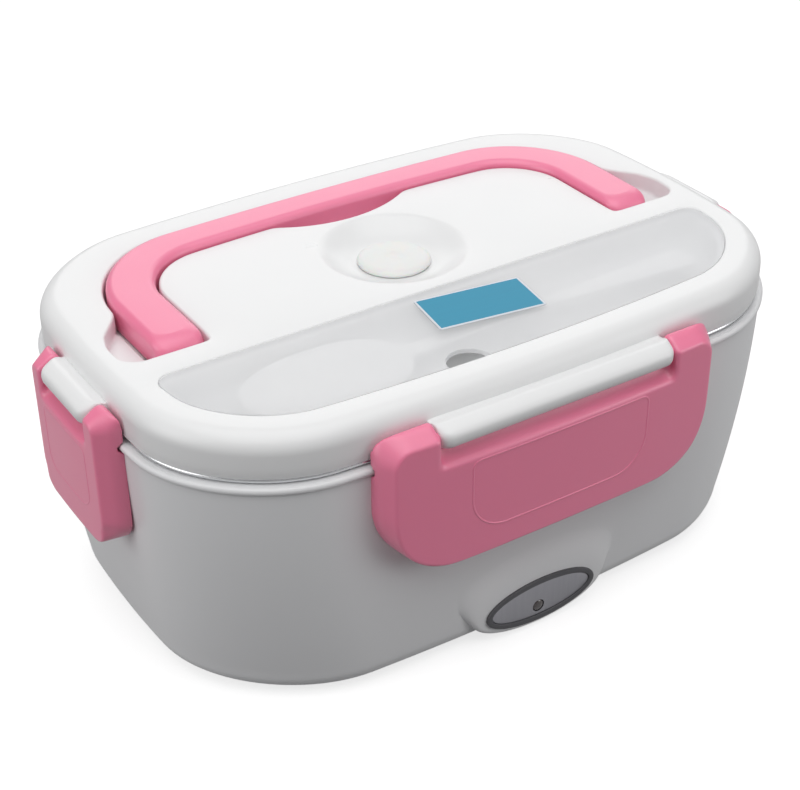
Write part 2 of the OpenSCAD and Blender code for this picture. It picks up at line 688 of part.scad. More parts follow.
z_wall_top = z_top - lid_wall / 2;
module recess_walls() {
  prism(trough_points(-lid_wall), z_trough - lid_wall, z_wall_top);
  translate([0, 0, z_channel - lid_wall]) linear_extrude(z_wall_top - z_channel + lid_wall) {
    channel_shape(lid_wall);
    scoop_shape(lid_wall);
  }
  translate([0, 0, z_pocket - lid_wall])
    linear_extrude(z_wall_top - z_pocket + lid_wall) pocket_shape(lid_wall);
  mirror_x() intersection() {
    union() {
      rod_x(pivot_clear + lid_wall, arm_in - channel_gap - lid_wall, handle_a + channel_gap + lid_wall,
        pivot_y, z_pivot);
      rod_x(pivot_r + 2, arm_in - channel_gap - pivot_l - lid_wall, arm_in - channel_gap, pivot_y, z_pivot);
    }
    translate([0, -lid_b, z_inner_top + 0.1]) cube([lid_a, lid_wid, z_wall_top - z_inner_top - 0.1]);
  }
  translate([0, vent_y, 0]) rotate_extrude() polygon([
    [0, z_dish - lid_wall], [plug_r + 2, z_dish - lid_wall], [dish_r - 3.4, z_dish + 1.2 - lid_wall],
    [dish_r + 0.8, z_top - 1.4 - lid_wall / 2], [dish_r + 0.8, z_wall_top], [0, z_wall_top]]);
  post_places() translate([0, 0, z_inner_top]) cylinder(r = post_r, h = z_wall_top - z_inner_top);
}

module recess_cuts() {
  prism(trough_points(0), z_ledge, z_top + over);
  prism(trough_points(ledge_w), z_trough, z_top + over);
  translate([0, 0, z_channel]) linear_extrude(z_top - z_channel + over) {
    channel_shape(0);
    scoop_shape(0);
  }
  translate([0, 0, z_pocket]) linear_extrude(z_top - z_pocket + over) pocket_shape(0);
  mirror_x() {
    rod_x(pivot_clear, arm_in - channel_gap, handle_a + channel_gap, pivot_y, z_pivot);
    rod_x(pivot_r + run_gap, arm_in - channel_gap - pivot_l, arm_in, pivot_y, z_pivot);
  }
  translate([0, vent_y, 0]) rotate_extrude() polygon([
    [0, z_dish], [plug_r + 1.5, z_dish], [dish_r - 5, z_dish + 1.4], [dish_r - 1.5, z_top - 0.9],
    [dish_r, z_top], [dish_r, z_top + over], [0, z_top + over]]);
  translate([0, vent_y, z_dish - lid_wall - over]) cylinder(r = vent_r, h = lid_wall + 2 * over);
}

// The lid

module post_places() {
  for (sx = [-1, 1]) translate([sx * post_x, pivot_y + 3]) children();
  for (sx = [-1, 1]) translate([sx * post_x / 2, grip_in - 18]) children();
}

function lid_rings() = concat(
  [at_height(lid_outline(0), z_skirt)],
  [for (i = [0:round_n + 1]) let (t = turn_at(i, round_n + 1))
    at_height(lid_outline(lid_edge_r * (1 - cos(t))), z_top - lid_edge_r * (1 - sin(t)))]);

// The hinge bar of a clip, in the frame of a clip on the front
module hinge_bar(half, edge) {
  rod_x(bar_r, -half, half, -edge - hinge_out, z_hinge);
  translate([-half, -edge - hinge_out, z_hinge - bar_r + 1])
    cube([2 * half, hinge_out + skirt_wall / 2, 2 * bar_r - 2.2]);
}

module bar_bores(half, edge) for (turn = [0, 1]) mirror([turn, 0, 0])
  rod_x(stub_r + run_gap, half - stub_l - 0.5, half + over, -edge - hinge_out, z_hinge);

wide_bar_half = wide_clip_half - wide_ear_w - rest_gap;
end_bar_half = end_clip_half - end_ear_w - rest_gap;

// Places its children, drawn for the front, on all four sides
module four_sides() {
  for (turn = [0, 180]) rotate([0, 0, turn]) children(0);
  for (turn = [90, -90]) rotate([0, 0, turn]) children(1);
}

module lid_top() color("white") difference() {
  union() {
    difference() {
      skin(lid_rings());
      prism(lid_outline(skirt_wall), z_skirt - over, z_top - lid_edge_r + 1);
      prism(lid_outline(skirt_wall + 2.4), z_skirt - over, z_top - lid_wall);
    }
    recess_walls();
    four_sides() {
      hinge_bar(wide_bar_half, lid_b);
      hinge_bar(end_bar_half, lid_a);
    }
  }
  recess_cuts();
  four_sides() {
    bar_bores(wide_bar_half, lid_b);
    bar_bores(end_bar_half, lid_a);
  }
}

seal_in = skirt_wall + 0.2;
seal_out = seal_in + seal_w;
z_seal = z_skirt;
inner_edge = seal_out + 0.15;
upstand_t = 1.6;
z_roof = z_seal + seal_h + 0.15;
roof_t = 1.6;

// The plate under the lid: an upstand inside the seal, and a roof over it
module lid_inner() color("white") difference() {
  union() {
    prism(lid_outline(inner_edge), z_inner, z_inner_top);
    difference() {
      prism(lid_outline(inner_edge), z_inner, z_roof + roof_t);
      prism(lid_outline(inner_edge + upstand_t), z_inner - over, z_roof + roof_t + over);
    }
    difference() {
      prism(lid_outline(seal_in), z_roof, z_roof + roof_t);
      prism(lid_outline(inner_edge + upstand_t), z_roof - over, z_roof + roof_t + over);
    }
    translate([0, vent_y, z_inner])
      cylinder(r = plug_foot_r + 1 + lid_wall, h = z_dish - lid_wall - z_inner - 0.2);
  }
  translate([0, vent_y, z_inner - over]) cylinder(r = plug_foot_r + 1, h = z_dish - z_inner + 2 * over);
}

module seal_ring() color("lightgray") difference() {
  prism(lid_outline(seal_in + 0.1), z_seal, z_seal + seal_h);
  prism(lid_outline(seal_out), z_seal - over, z_seal + seal_h + over);
}

// The vent plug: a cap in the dish on a stem with a retaining foot
module vent_plug() color("ghostwhite") translate([0, vent_y, 0]) rotate_extrude() polygon([
  [0, z_inner + 0.6], [plug_foot_r - 0.6, z_inner + 0.6], [plug_foot_r, z_inner + 1.2],
  [plug_foot_r, z_inner + 1.8],
  [vent_r - rest_gap, z_inner + 3], [vent_r - rest_gap, z_dish + rest_gap], [plug_r - 0.6, z_dish + rest_gap],
  [plug_r, z_dish + 0.9], [plug_r, z_dish + plug_t - 0.8], [plug_r - 1, z_dish + plug_t],
  [3, z_dish + plug_t], [2, z_dish + plug_t - 0.7], [0, z_dish + plug_t - 0.9]]);

// The handle

arm_end = pocket_front + 0.4;
module handle() color("hotpink") {
  intersection() {
    strip_skin(concat(
      [at_height(u_points(1, arm_end), handle_low), at_height(u_points(0, arm_end), handle_low + 1)],
      [for (i = [0:round_n]) let (t = turn_at(i, round_n))
        at_height(u_points(handle_edge_r * (1 - cos(t)), arm_end),
          handle_top - handle_edge_r * (1 - sin(t)))]));
    union() {
      translate([-lid_a, pivot_y, handle_low - over]) cube([lid_len, lid_wid, handle_t + 2 * over]);
      rod_x(pivot_down, -lid_a, lid_a, pivot_y, z_pivot);
    }
  }
  mirror_x() rod_x(pivot_r, arm_in - pivot_l + rest_gap, arm_in + 2, pivot_y, z_pivot);
}

// The clips, drawn for the front

clip_in = rim_proud + 0.4;
clip_out = hinge_out + ear_r;
clip_top = ear_r + 0.2;
flat_n = 6;
bend_n = 5;
facet_v = clip_out - 0.35;
facet_z = 1;
facet_tilt = 24;
// Stations across a clip, closer together round its lower corners
function stations(w, r) = concat(
  [for (i = [bend_n:-1:1]) -(w - r + r * sin(turn_at(i, bend_n)))],
  [for (i = [0:flat_n]) (w - r) * (2 * i / flat_n - 1)],
  [for (i = [1:bend_n]) w - r + r * sin(turn_at(i, bend_n))]);
function lower_z(x, w, r) = abs(x) <= w - r ? 0 : r - sqrt(max(0, r * r - pow(abs(x) - w + r, 2)));
function top_r(w) = 1 + w * 0.08;
function bowed(x, out, reach) = side_bow * pow(x / reach, 2) - out;
function clip_ring(w, r, drop, d, v, edge, reach) =
  let (xs = stations(w - d, r - d), rt = top_r(w) - d * 0.3) [
    for (x = xs)
      [x, bowed(x, edge + v, reach), z_hinge - drop + d + lower_z(x, w - d, r - d)],
    for (x = backwards(xs))
      [x, bowed(x, edge + v, reach), z_hinge + clip_top - lower_z(x, w - d, rt)]];

// All that lies under the sloping top of the ears
module ear_slope(w, drop, edge) translate([0, -edge - facet_v, z_hinge + facet_z]) rotate([facet_tilt, 0, 0])
  translate([-w - over, -drop, -2 * drop]) cube([2 * w + 2 * over, 3 * drop, 2 * drop]);

module clip(w, ear, r, drop, edge, reach) {
  bar = w - ear;
  corner = r * 0.3 + clip_wall;
  hollow = w - corner;
  z_low = z_hinge - drop;
  difference() {
    union() {
      intersection() {
        strip_skin([
          for (v = [clip_in, clip_out - clip_edge_r]) clip_ring(w, r, drop, 0, v, edge, reach),
          for (i = [1:round_n]) let (t = turn_at(i, round_n))
            clip_ring(w, r, drop, clip_edge_r * (1 - cos(t)),
              clip_out - clip_edge_r * (1 - sin(t)), edge, reach)]);
        union() {
          translate([-w - over, -edge - clip_out - over, z_low - over])
            cube([2 * w + 2 * over, clip_out + 2 * over, drop + over]);
          rod_x(ear_r, -w, w, -edge - hinge_out, z_hinge);
        }
        ear_slope(w, drop, edge);
      }
      for (s = [-1, 1]) intersection() {
        ear_slope(w, drop, edge);
        rod_x(ear_r, s > 0 ? bar : -w + 1.2, s > 0 ? w - 1.2 : -bar, -edge - hinge_out, z_hinge);
        translate([-w, -edge - hinge_out - 1, z_hinge - ear_r]) cube([2 * w, clip_out, 2 * ear_r]);
      }
    }
    // The gap round the hinge bar and the groove above the panel
    rod_x(bar_r + 0.7, -bar, bar, -edge - hinge_out, z_hinge);
    rod_x(groove_r, -bar, bar, -edge - clip_out - 1.5, z_hinge - 2.4);
    translate([-bar, -edge - clip_out - over, z_skirt]) cube([2 * bar, clip_out + 2 * over, 2 * clip_top]);
    // The hollow behind the panel
    translate([-hollow, -edge - clip_out + clip_wall + 0.4, z_low + corner])
      cube([2 * hollow, clip_out, z_catch + catch_h - z_low - corner]);
  }
  // The catch that lies under the rim bead
  translate([-hollow, -edge - clip_out + clip_wall, z_catch])
    cube([2 * hollow, clip_out - clip_wall - clip_in - catch_r, catch_h]);
  rod_x(catch_r, -hollow, hollow, -edge - clip_in - catch_r, z_catch + catch_h - catch_r);
  for (turn = [0, 1]) mirror([turn, 0, 0])
    rod_x(stub_r, bar - stub_l, bar + over, -edge - hinge_out, z_hinge);
}

groove_r = 5.8;
catch_h = 2.6;
catch_r = 1.3;
z_catch = z_bead - 0.8 - catch_h;

module wide_clip() clip(wide_clip_half, wide_ear_w, wide_clip_r, wide_clip_drop, lid_b, lid_a);
module end_clip() clip(end_clip_half, end_ear_w, end_clip_r, end_clip_drop, lid_a, lid_b);
module front_clip() color("hotpink") wide_clip();
module rear_clip() color("hotpink") rotate([0, 0, 180]) wide_clip();
module left_clip() color("hotpink") rotate([0, 0, -90]) end_clip();
module right_clip() color("hotpink") rotate([0, 0, 90]) end_clip();

// The spoon, its cover and the blank label on the cover

spoon_y = (trough_front + trough_rear) / 2;
spoon_x0 = -spoon_len / 2;
bowl_l = 54;
spoon_n = 24;
across_n = 6;
z_spoon = z_trough + rest_gap + spoon_d;
// Half width, bowl depth and height of the spoon at a distance s from its tip
function half_w(s) = s < bowl_l
  ? max(0.6, spoon_w / 2 * pow(max(0, 1 - pow(abs(2 * s / bowl_l - 1), 2.4)), 0.5) + 1.5 * s / bowl_l)
  : 1.5 + 4.5 * pow((s - bowl_l) / (spoon_len - bowl_l), 2) + 2.2 * exp(-(s - bowl_l) / 12)
    - 5.4 * pow(max(0, (s - spoon_len + 6) / 6), 4);
function dip(s) = s < bowl_l ? spoon_d * pow(max(0, sin(180 * s / bowl_l)), 0.7) : 0;
function rise(s) = s < bowl_l ? 0 : 0.8 * sin(180 * (s - bowl_l) / (spoon_len - bowl_l));
function spoon_ring(s) = let (w = half_w(s), d = dip(s), z = z_spoon + rise(s)) [
  for (i = [0:across_n]) let (u = 2 * i / across_n - 1)
    [spoon_x0 + s, spoon_y + u * w, z - d * (1 - u * u)],
  for (i = [across_n:-1:0]) let (u = 2 * i / across_n - 1)
    [spoon_x0 + s, spoon_y + u * w, z - d * (1 - u * u) + spoon_t]];

module spoon() color("white") strip_skin([for (i = [0:spoon_n])
  let (s = i < spoon_n / 2 ? bowl_l * (1 - cos(180 * i / (spoon_n / 2))) / 2
    : bowl_l + (spoon_len - bowl_l) * sin(90 * (i - spoon_n / 2) / (spoon_n / 2))) spoon_ring(s)]);

module spoon_cover() color("aliceblue") difference() {
  prism(trough_points(rest_gap), z_ledge + rest_gap, z_top);
  translate([-notch_x, trough_front, z_ledge]) cylinder(r = notch_r, h = cover_t + 2 * over);
}

label_l = 36;
label_w = 19;
label_t = 0.2;
label_x = 1.8;
label_in = 26;
label_y = trough_front + label_in;
label_turn = -8;
module cover_label() color("steelblue") translate([label_x, label_y, z_top]) rotate([0, 0, label_turn])
  linear_extrude(label_t) round_rect(label_l, label_w, 0.8);

outer_tub();
inner_liner();
plate_seal();
heating_plate();
ptc_heater();
heater_clamp();
clamp_screws();
thermal_fuse();
heater_wires();
inlet_housing();
inlet_pins();
badge_ring();
badge_plate();
lamp_lens();
lamp_board();
base_screws();
rubber_feet();
steel_tray();
lid_top();
lid_inner();
seal_ring();
vent_plug();
handle();
front_clip();
rear_clip();
left_clip();
right_clip();
spoon();
spoon_cover();
cover_label();
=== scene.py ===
from math import cos, exp, pi, radians, sin, sqrt

import bmesh
import bpy
import numpy as np
from mathutils import Matrix, Vector
from mathutils.geometry import delaunay_2d_cdt


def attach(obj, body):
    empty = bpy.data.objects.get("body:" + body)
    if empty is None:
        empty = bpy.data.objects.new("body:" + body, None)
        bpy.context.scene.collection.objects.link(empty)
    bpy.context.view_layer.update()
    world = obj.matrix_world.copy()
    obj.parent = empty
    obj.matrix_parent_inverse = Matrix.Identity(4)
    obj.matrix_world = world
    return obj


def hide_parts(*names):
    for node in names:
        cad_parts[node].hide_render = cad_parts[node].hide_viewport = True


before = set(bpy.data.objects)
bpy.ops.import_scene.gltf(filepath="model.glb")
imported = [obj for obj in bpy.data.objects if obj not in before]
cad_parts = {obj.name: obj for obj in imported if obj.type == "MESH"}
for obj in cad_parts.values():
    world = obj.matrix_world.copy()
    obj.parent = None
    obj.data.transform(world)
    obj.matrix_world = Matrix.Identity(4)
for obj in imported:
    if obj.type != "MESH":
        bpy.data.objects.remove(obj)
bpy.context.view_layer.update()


def added(name, data):
    """A new object of the scene, from its mesh, lamp or camera."""
    made = bpy.data.objects.new(name, data)
    bpy.context.scene.collection.objects.link(made)
    return made


# Camera: a long lens that looks down at the front left corner of the box
AZIMUTH, ELEVATION, ROLL = radians(-33.15), radians(32.46), radians(-0.22)
CAMERA_DISTANCE, LOOK_HEIGHT = 0.55094, 0.0478
back = Vector((sin(AZIMUTH) * cos(ELEVATION), -cos(AZIMUTH) * cos(ELEVATION), sin(ELEVATION)))
right = Vector((cos(AZIMUTH), sin(AZIMUTH), 0))
above = back.cross(right)
across = cos(ROLL) * right + sin(ROLL) * above
upward = -sin(ROLL) * right + cos(ROLL) * above
camera = added("camera", bpy.data.cameras.new("camera"))
camera.matrix_world = Matrix.Translation(back * CAMERA_DISTANCE + Vector((0, 0, LOOK_HEIGHT))) @ Matrix((
    (across.x, upward.x, back.x, 0), (across.y, upward.y, back.y, 0), (across.z, upward.z, back.z, 0),
    (0, 0, 0, 1)))
camera.data.sensor_fit = "HORIZONTAL"
camera.data.sensor_width = 36
camera.data.lens = 74.054
camera.data.shift_x, camera.data.shift_y = -0.01258, -0.0047
camera.data.clip_start, camera.data.clip_end = 0.01, 50
bpy.context.scene.camera = camera
bpy.context.scene.view_settings.view_transform = "Standard"

# Studio: soft boxes overhead, behind and at both sides, a pale room, and a floor that looks white


class Wire:
    """An output of a node that can be used in sums."""

    def __init__(self, nodes, socket):
        self.nodes, self.socket = nodes, socket

    def sum(self, operation, a, b=0.0):
        """What a Math node makes of two numbers or wires."""
        return self.nodes.wire("ShaderNodeMath", {"operation": operation}, {0: a, 1: b})

    def __add__(self, other):
        return self.sum("ADD", self, other)

    def __radd__(self, other):
        return self.sum("ADD", other, self)

    def __sub__(self, other):
        return self.sum("SUBTRACT", self, other)

    def __rsub__(self, other):
        return self.sum("SUBTRACT", other, self)

    def __mul__(self, other):
        return self.sum("MULTIPLY", self, other)

    def __rmul__(self, other):
        return self.sum("MULTIPLY", other, self)

    def __gt__(self, other):
        return self.sum("GREATER_THAN", self, other)

    def __abs__(self):
        return self.sum("ABSOLUTE", self)


class Nodes:
    """The tree of nodes of a world or a material, empty at first."""

    def __init__(self, owner):
        owner.use_nodes = True
        self.owner, self.tree = owner, owner.node_tree
        self.tree.nodes.clear()

    def node(self, kind, settings=None, sockets=None):
        """Adds a node of a kind, with its settings first, then the values or links of its sockets."""
        made = self.tree.nodes.new(kind)
        for key, value in (settings or {}).items():
            setattr(made, key, value)
        for key, value in (sockets or {}).items():
            if isinstance(value, Wire):
                self.tree.links.new(value.socket, made.inputs[key])
            else:
                made.inputs[key].default_value = value
        return made

    def wire(self, kind, settings=None, sockets=None, out=0):
        """Adds a node and gives one of its outputs."""
        return Wire(self, self.node(kind, settings, sockets).outputs[out])

    def blend(self, share, a, b):
        """A colour between a and b."""
        a, b = (colour if isinstance(colour, Wire) else (*colour, 1) for colour in (a, b))
        return self.wire("ShaderNodeMix", {"data_type": "RGBA"}, {0: share, 6: a, 7: b}, 2)


class Finish(Nodes):
    """A material in the making."""

    def __init__(self, name):
        super().__init__(bpy.data.materials.new(name))

    def place(self):
        """The place on the piece, in metres."""
        return self.wire("ShaderNodeTexCoord", out="Object")

    def noise(self, scale, detail=2.0, vector=None):
        """A soft noise from 0 to 1, with about this many lumps in a metre."""
        return self.wire("ShaderNodeTexNoise", {"noise_dimensions": "3D"},
                         {"Vector": vector or self.place(), "Scale": scale, "Detail": detail})

    def bump(self, height, depth):
        """Normals that follow a height from 0 to 1, over a depth in metres."""
        return self.wire("ShaderNodeBump", None, {"Height": height, "Distance": depth, "Strength": 1.0})

    def done(self, shader):
        """The finished material, with this shader for its surface."""
        self.node("ShaderNodeOutputMaterial", None, {"Surface": shader})
        return self.owner

    def principled(self, sockets):
        """The finished material, from one Principled shader."""
        return self.done(self.wire("ShaderNodeBsdfPrincipled", None, sockets))


def seen_rays(nodes):
    """Two masks: what the camera sees, and what a mirror or a clear body sees."""
    path = nodes.node("ShaderNodeLightPath")
    camera_rays, glossy_rays, clear_rays = [
        Wire(nodes, path.outputs[name]) for name in ("Is Camera Ray", "Is Glossy Ray", "Is Transmission Ray")]
    return camera_rays, glossy_rays + clear_rays * (1 - glossy_rays)


ROOM_LIGHT, ROOM_MIRROR = 0.16, 0.36
world = bpy.data.worlds.new("studio")
bpy.context.scene.world = world
room = Nodes(world)
camera_ray, mirror_ray = seen_rays(room)
shine = camera_ray + (1 - camera_ray) * (mirror_ray * (ROOM_MIRROR - ROOM_LIGHT) + ROOM_LIGHT)
room.node("ShaderNodeOutputWorld", None, {"Surface": room.wire(
    "ShaderNodeBackground", None, {"Color": (1, 1, 1, 1), "Strength": shine})})


def soft_box(name, place, aim, size, watts):
    """A rectangular lamp at a place, turned towards its aim."""
    lamp = bpy.data.lights.new(name, "AREA")
    lamp.shape, lamp.size, lamp.size_y, lamp.energy = "RECTANGLE", size[0], size[1], watts
    box = added(name, lamp)
    box.location = place
    box.rotation_euler = (Vector(aim) - Vector(place)).to_track_quat("-Z", "Y").to_euler()


soft_box("overhead_box", (-0.1, -0.22, 1.15), (0, 0, 0.05), (1.4, 1.3), 10.4)
soft_box("rear_box", (0.75, 1.15, 0.8), (0, 0, 0.08), (1.5, 1.0), 7.0)
soft_box("left_box", (-1.2, 0.1, 0.5), (0, 0, 0.05), (0.8, 0.9), 5.2)
soft_box("right_box", (0.9, -1.0, 0.4), (0, 0, 0.05), (0.7, 0.9), 5.0)

FLOOR_SEEN, FLOOR_BOUNCE = (0.46, 0.46, 0.46), (0.15, 0.15, 0.155)
FLOOR_GLOW, FLOOR_MIRROR = 0.72, 0.45
FADE_FROM, FADE_TO = 0.35, 1.3
FLOOR_HALF, FLOOR_Z = 6.0, -0.0002
BLACK, WHITE = (0.0, 0.0, 0.0), (1.0, 1.0, 1.0)
floor_finish = Finish("studio_floor")
camera_ray, mirror_ray = seen_rays(floor_finish)
floor_seen = camera_ray + mirror_ray * FLOOR_MIRROR * (1 - camera_ray)
away = floor_finish.wire("ShaderNodeVectorMath", {"operation": "LENGTH"}, {0: floor_finish.place()}, "Value")
far = floor_finish.wire("ShaderNodeMapRange", {"interpolation_type": "SMOOTHSTEP"}, {
    "Value": away, "From Min": FADE_FROM, "From Max": FADE_TO})
floor_paint = floor_finish.wire("ShaderNodeBsdfDiffuse", None, {"Color": floor_finish.blend(
    floor_seen, FLOOR_BOUNCE, floor_finish.blend(far, FLOOR_SEEN, BLACK))})
floor_glow = floor_finish.wire("ShaderNodeEmission", None, {"Strength": 1.0, "Color": floor_finish.blend(
    floor_seen * (FLOOR_GLOW + (1 - FLOOR_GLOW) * far), BLACK, WHITE)})
floor_mesh = bpy.data.meshes.new("floor")
floor_corners = [(x * FLOOR_HALF, y * FLOOR_HALF, FLOOR_Z) for x, y in ((-1, -1), (1, -1), (1, 1), (-1, 1))]
floor_mesh.from_pydata(floor_corners, [], [(0, 1, 2, 3)])
floor_mesh.materials.append(floor_finish.done(
    floor_finish.wire("ShaderNodeAddShader", None, {0: floor_paint, 1: floor_glow})))
floor = added("floor", floor_mesh)

# Outer tub: the white base, with an oval pad for the badge in front and one for the inlet at the rear


def smooth(mesh, angle):
    """Smooth faces, with a crease where two of them meet at more than an angle in degrees."""
    mesh.polygons.foreach_set("use_smooth", [True] * len(mesh.polygons))
    mesh.set_sharp_from_angle(angle=radians(angle))


def from_above(point):
    return point[:2]


def from_front(point):
    return (point[0], point[2])


class Shape:
    """A mesh in the making: points in millimetres, rings of them, and the faces between."""

    def __init__(self):
        self.points, self.faces = [], []

    def ring(self, flat, z):
        """Adds a ring of points that lies at one height, or at a height for each point."""
        start = len(self.points)
        heights = z if hasattr(z, "__len__") else [z] * len(flat)
        self.points += [(x, y, h) for (x, y), h in zip(flat, heights)]
        return list(range(start, len(self.points)))

    def stack(self, flat, steps):
        """Rings of an outline, one for each step of its inset or radius and its height."""
        return [self.ring(flat(size), z) for size, z in steps]

    def free_ring(self, points):
        """Adds a ring of points anywhere."""
        start = len(self.points)
        self.points += [tuple(p) for p in points]
        return list(range(start, len(self.points)))

    def loft(self, rings):
        """Quads from ring to ring."""
        for low, high in zip(rings, rings[1:]):
            for i in range(len(low)):
                j = (i + 1) % len(low)
                self.faces.append((low[i], low[j], high[j], high[i]))

    def fill(self, loops, height=None, spacing=0.0, lines=(), flat=from_above):
        """Triangles between a loop and its holes, seen along an axis, with inner points at a height."""
        index, places, edges = [], [], []
        for loop in loops:
            base = len(places)
            places += [flat(self.points[i]) for i in loop]
            index += loop
            edges += [(base + i, base + (i + 1) % len(loop)) for i in range(len(loop))]
        bounds = np.array(places)
        segments = np.array([(places[a], places[b]) for a, b in edges])

        def inside(spots):
            """Whether each spot has an odd count of edges on one side of it."""
            result = np.zeros(len(spots), bool)
            for start in range(0, len(spots), 4000):
                part = spots[start:start + 4000]
                x, y = part[:, :1], part[:, 1:]
                x0, y0, x1, y1 = segments[:, 0, 0], segments[:, 0, 1], segments[:, 1, 0], segments[:, 1, 1]
                crosses = (y0 > y) != (y1 > y)
                at = x0 + (y - y0) * (x1 - x0) / np.where(y1 == y0, 1e-12, y1 - y0)
                result[start:start + 4000] = (np.sum(crosses & (x < at), axis=1) % 2).astype(bool)
            return result

        extra = []
        for line in lines:
            base = len(places) + len(extra)
            extra += [tuple(p) for p in line]
            edges += [(base + i, base + i + 1) for i in range(len(line) - 1)]
        if spacing:
            low, high = bounds.min(0), bounds.max(0)
            xs = np.arange(low[0] + spacing / 2, high[0], spacing)
            ys = np.arange(low[1] + spacing / 2, high[1], spacing)
            grid = np.stack(np.meshgrid(xs, ys), -1).reshape(-1, 2)
            grid = grid[inside(grid)]
            near = np.array(places + extra)
            keep = np.ones(len(grid), bool)
            for start in range(0, len(grid), 2000):
                part = grid[start:start + 2000]
                gap = np.min(np.sum((part[:, None] - near[None]) ** 2, -1), axis=1)
                keep[start:start + 2000] = gap > (spacing * 0.5) ** 2
            extra += [tuple(p) for p in grid[keep]]
        verts, _, faces, origins, _, _ = delaunay_2d_cdt(
            [Vector(p) for p in places + extra], edges, [], 0, 1e-6)
        middles = np.array([[sum(verts[i][axis] for i in face) / 3 for axis in (0, 1)] for face in faces])
        wanted = inside(middles)
        names = {}

        def point(i):
            if i not in names:
                known = [k for k in origins[i] if k < len(index)]
                if known:
                    names[i] = index[known[0]]
                else:
                    names[i] = len(self.points)
                    spot = verts[i][:2]
                    self.points.append(height(*spot) if height else (*spot, self.points[index[0]][2]))
            return names[i]

        for face, use in zip(faces, wanted):
            if use:
                corners = tuple(point(i) for i in face)
                if len(set(corners)) == 3:
                    self.faces.append(corners)

    def lathe(self, profile, x=0.0, y=0.0, n=48):
        """A body of revolution about a vertical axis, from a list of radii and heights."""
        rings = []
        for r, z in profile:
            if r < 1e-6:
                rings.append(self.free_ring([(x, y, z)]))
            else:
                rings.append(self.free_ring([(x + r * cos(2 * pi * i / n), y + r * sin(2 * pi * i / n), z)
                                             for i in range(n)]))
        for low, high in zip(rings, rings[1:]):
            for i in range(n):
                j = (i + 1) % n
                if len(low) == 1 and len(high) == 1:
                    continue
                if len(low) == 1:
                    self.faces.append((low[0], high[j], high[i]))
                elif len(high) == 1:
                    self.faces.append((low[i], low[j], high[0]))
                else:
                    self.faces.append((low[i], low[j], high[j], high[i]))

    def placed(self, change):
        """Changes each point."""
        self.points = [tuple(change(p)) for p in self.points]

    def add(self, other, change):
        """Takes in another shape, with each of its points changed."""
        base = len(self.points)
        self.points += [change(p) for p in other.points]
        self.faces += [tuple(base + i for i in face) for face in other.faces]

    def done(self, name, material=None, sharp=38.0):
        """The finished object, in metres, with smooth faces and sharp creases."""
        mesh = bpy.data.meshes.new(name)
        mesh.from_pydata([(x / 1000, y / 1000, z / 1000) for x, y, z in self.points], [], self.faces)
        work = bmesh.new()
        work.from_mesh(mesh)
        bmesh.ops.remove_doubles(work, verts=work.verts, dist=1e-7)
        bmesh.ops.recalc_face_normals(work, faces=work.faces)
        work.to_mesh(mesh)
        work.free()
        smooth(mesh, sharp)
        if material:
            mesh.materials.append(material)
        return added(name, mesh)


BOW = 5.6


def outline(a, b, r):
    """A rounded rectangle whose sides bow out, seen from above, anticlockwise from +X."""
    side, corner, long = 8, 26, 16
    t = np.linspace(0, pi / 2, corner + 1)
    q = np.concatenate([
        np.c_[np.full(side, a), (b - r) * np.arange(side) / side],
        np.c_[a - r + r * np.cos(t), b - r + r * np.sin(t)],
        np.c_[(a - r) * (1 - np.arange(1, long) / long), np.full(long - 1, b)]])
    x, y = q.T
    q = np.c_[x - BOW * (y / b) ** 2 * x / a, y - BOW * (x / a) ** 2 * y / b]
    half = np.concatenate([q, [[0, b]], q[:0:-1] * (-1, 1)])
    return np.concatenate([half, -half])


def circle(r, x=0.0, y=0.0, n=40):
    t = 2 * pi * np.arange(n) / n
    return np.c_[x + r * np.cos(t), y + r * np.sin(t)]


def quarter_steps(n):
    """The angles of a quarter turn in n even steps."""
    return [pi / 2 * i / n for i in range(n + 1)]


def turned(turn):
    """A change of points: a turn about the upright axis through the middle."""
    return lambda p: (p[0] * cos(turn) - p[1] * sin(turn), p[0] * sin(turn) + p[1] * cos(turn), p[2])


def eased(share):
    """A share from 0 to 1 with a soft start and end."""
    return share * share * (3 - 2 * share)


FOOT_H, Z_BEAD, BASE_FILLET, TUB_WALL = 1.5, 80.2, 7.5, 2.2
Z_WALL = FOOT_H + BASE_FILLET
SCREW_X, SCREW_Y = 62, 38
SCREWS = [(sx * SCREW_X, sy * SCREW_Y) for sx in (-1, 1) for sy in (-1, 1)]
PAD_Y, PAD_Z, PAD_HALF_L, PAD_HALF_H, PAD_DEPTH = 74.55, 10.45, 25.1, 10.05, 11.0
PAD_LIP, PAD_REACH_LOW, PAD_REACH_HIGH, PAD_SUNK = 1.5, 0.2, 13.0, 0.12
LENS_X, LENS_Z = -1.0, -2.5


def tub_half_sizes(z):
    """Half length, half width and corner radius of the tub at a height."""
    k = min(1, max(0, (Z_BEAD - z) / (Z_BEAD - Z_WALL))) ** 1.9
    return 113.3 - 5.2 * k, 74.45 - 2.1 * k, 40.8 + 5.5 * k


def tub_outline(z, d):
    a, b, r = tub_half_sizes(z)
    return outline(a - d, b - d, r - d)


def tub_face(x, z):
    """Distance of the tub's front or rear wall from the middle, at a place on it."""
    a, b, _ = tub_half_sizes(max(z, Z_WALL))
    drop = max(0.0, Z_WALL - z)
    return b - BOW * (x / (a - BOW)) ** 2 - (BASE_FILLET - sqrt(max(0.0, BASE_FILLET ** 2 - drop ** 2)))


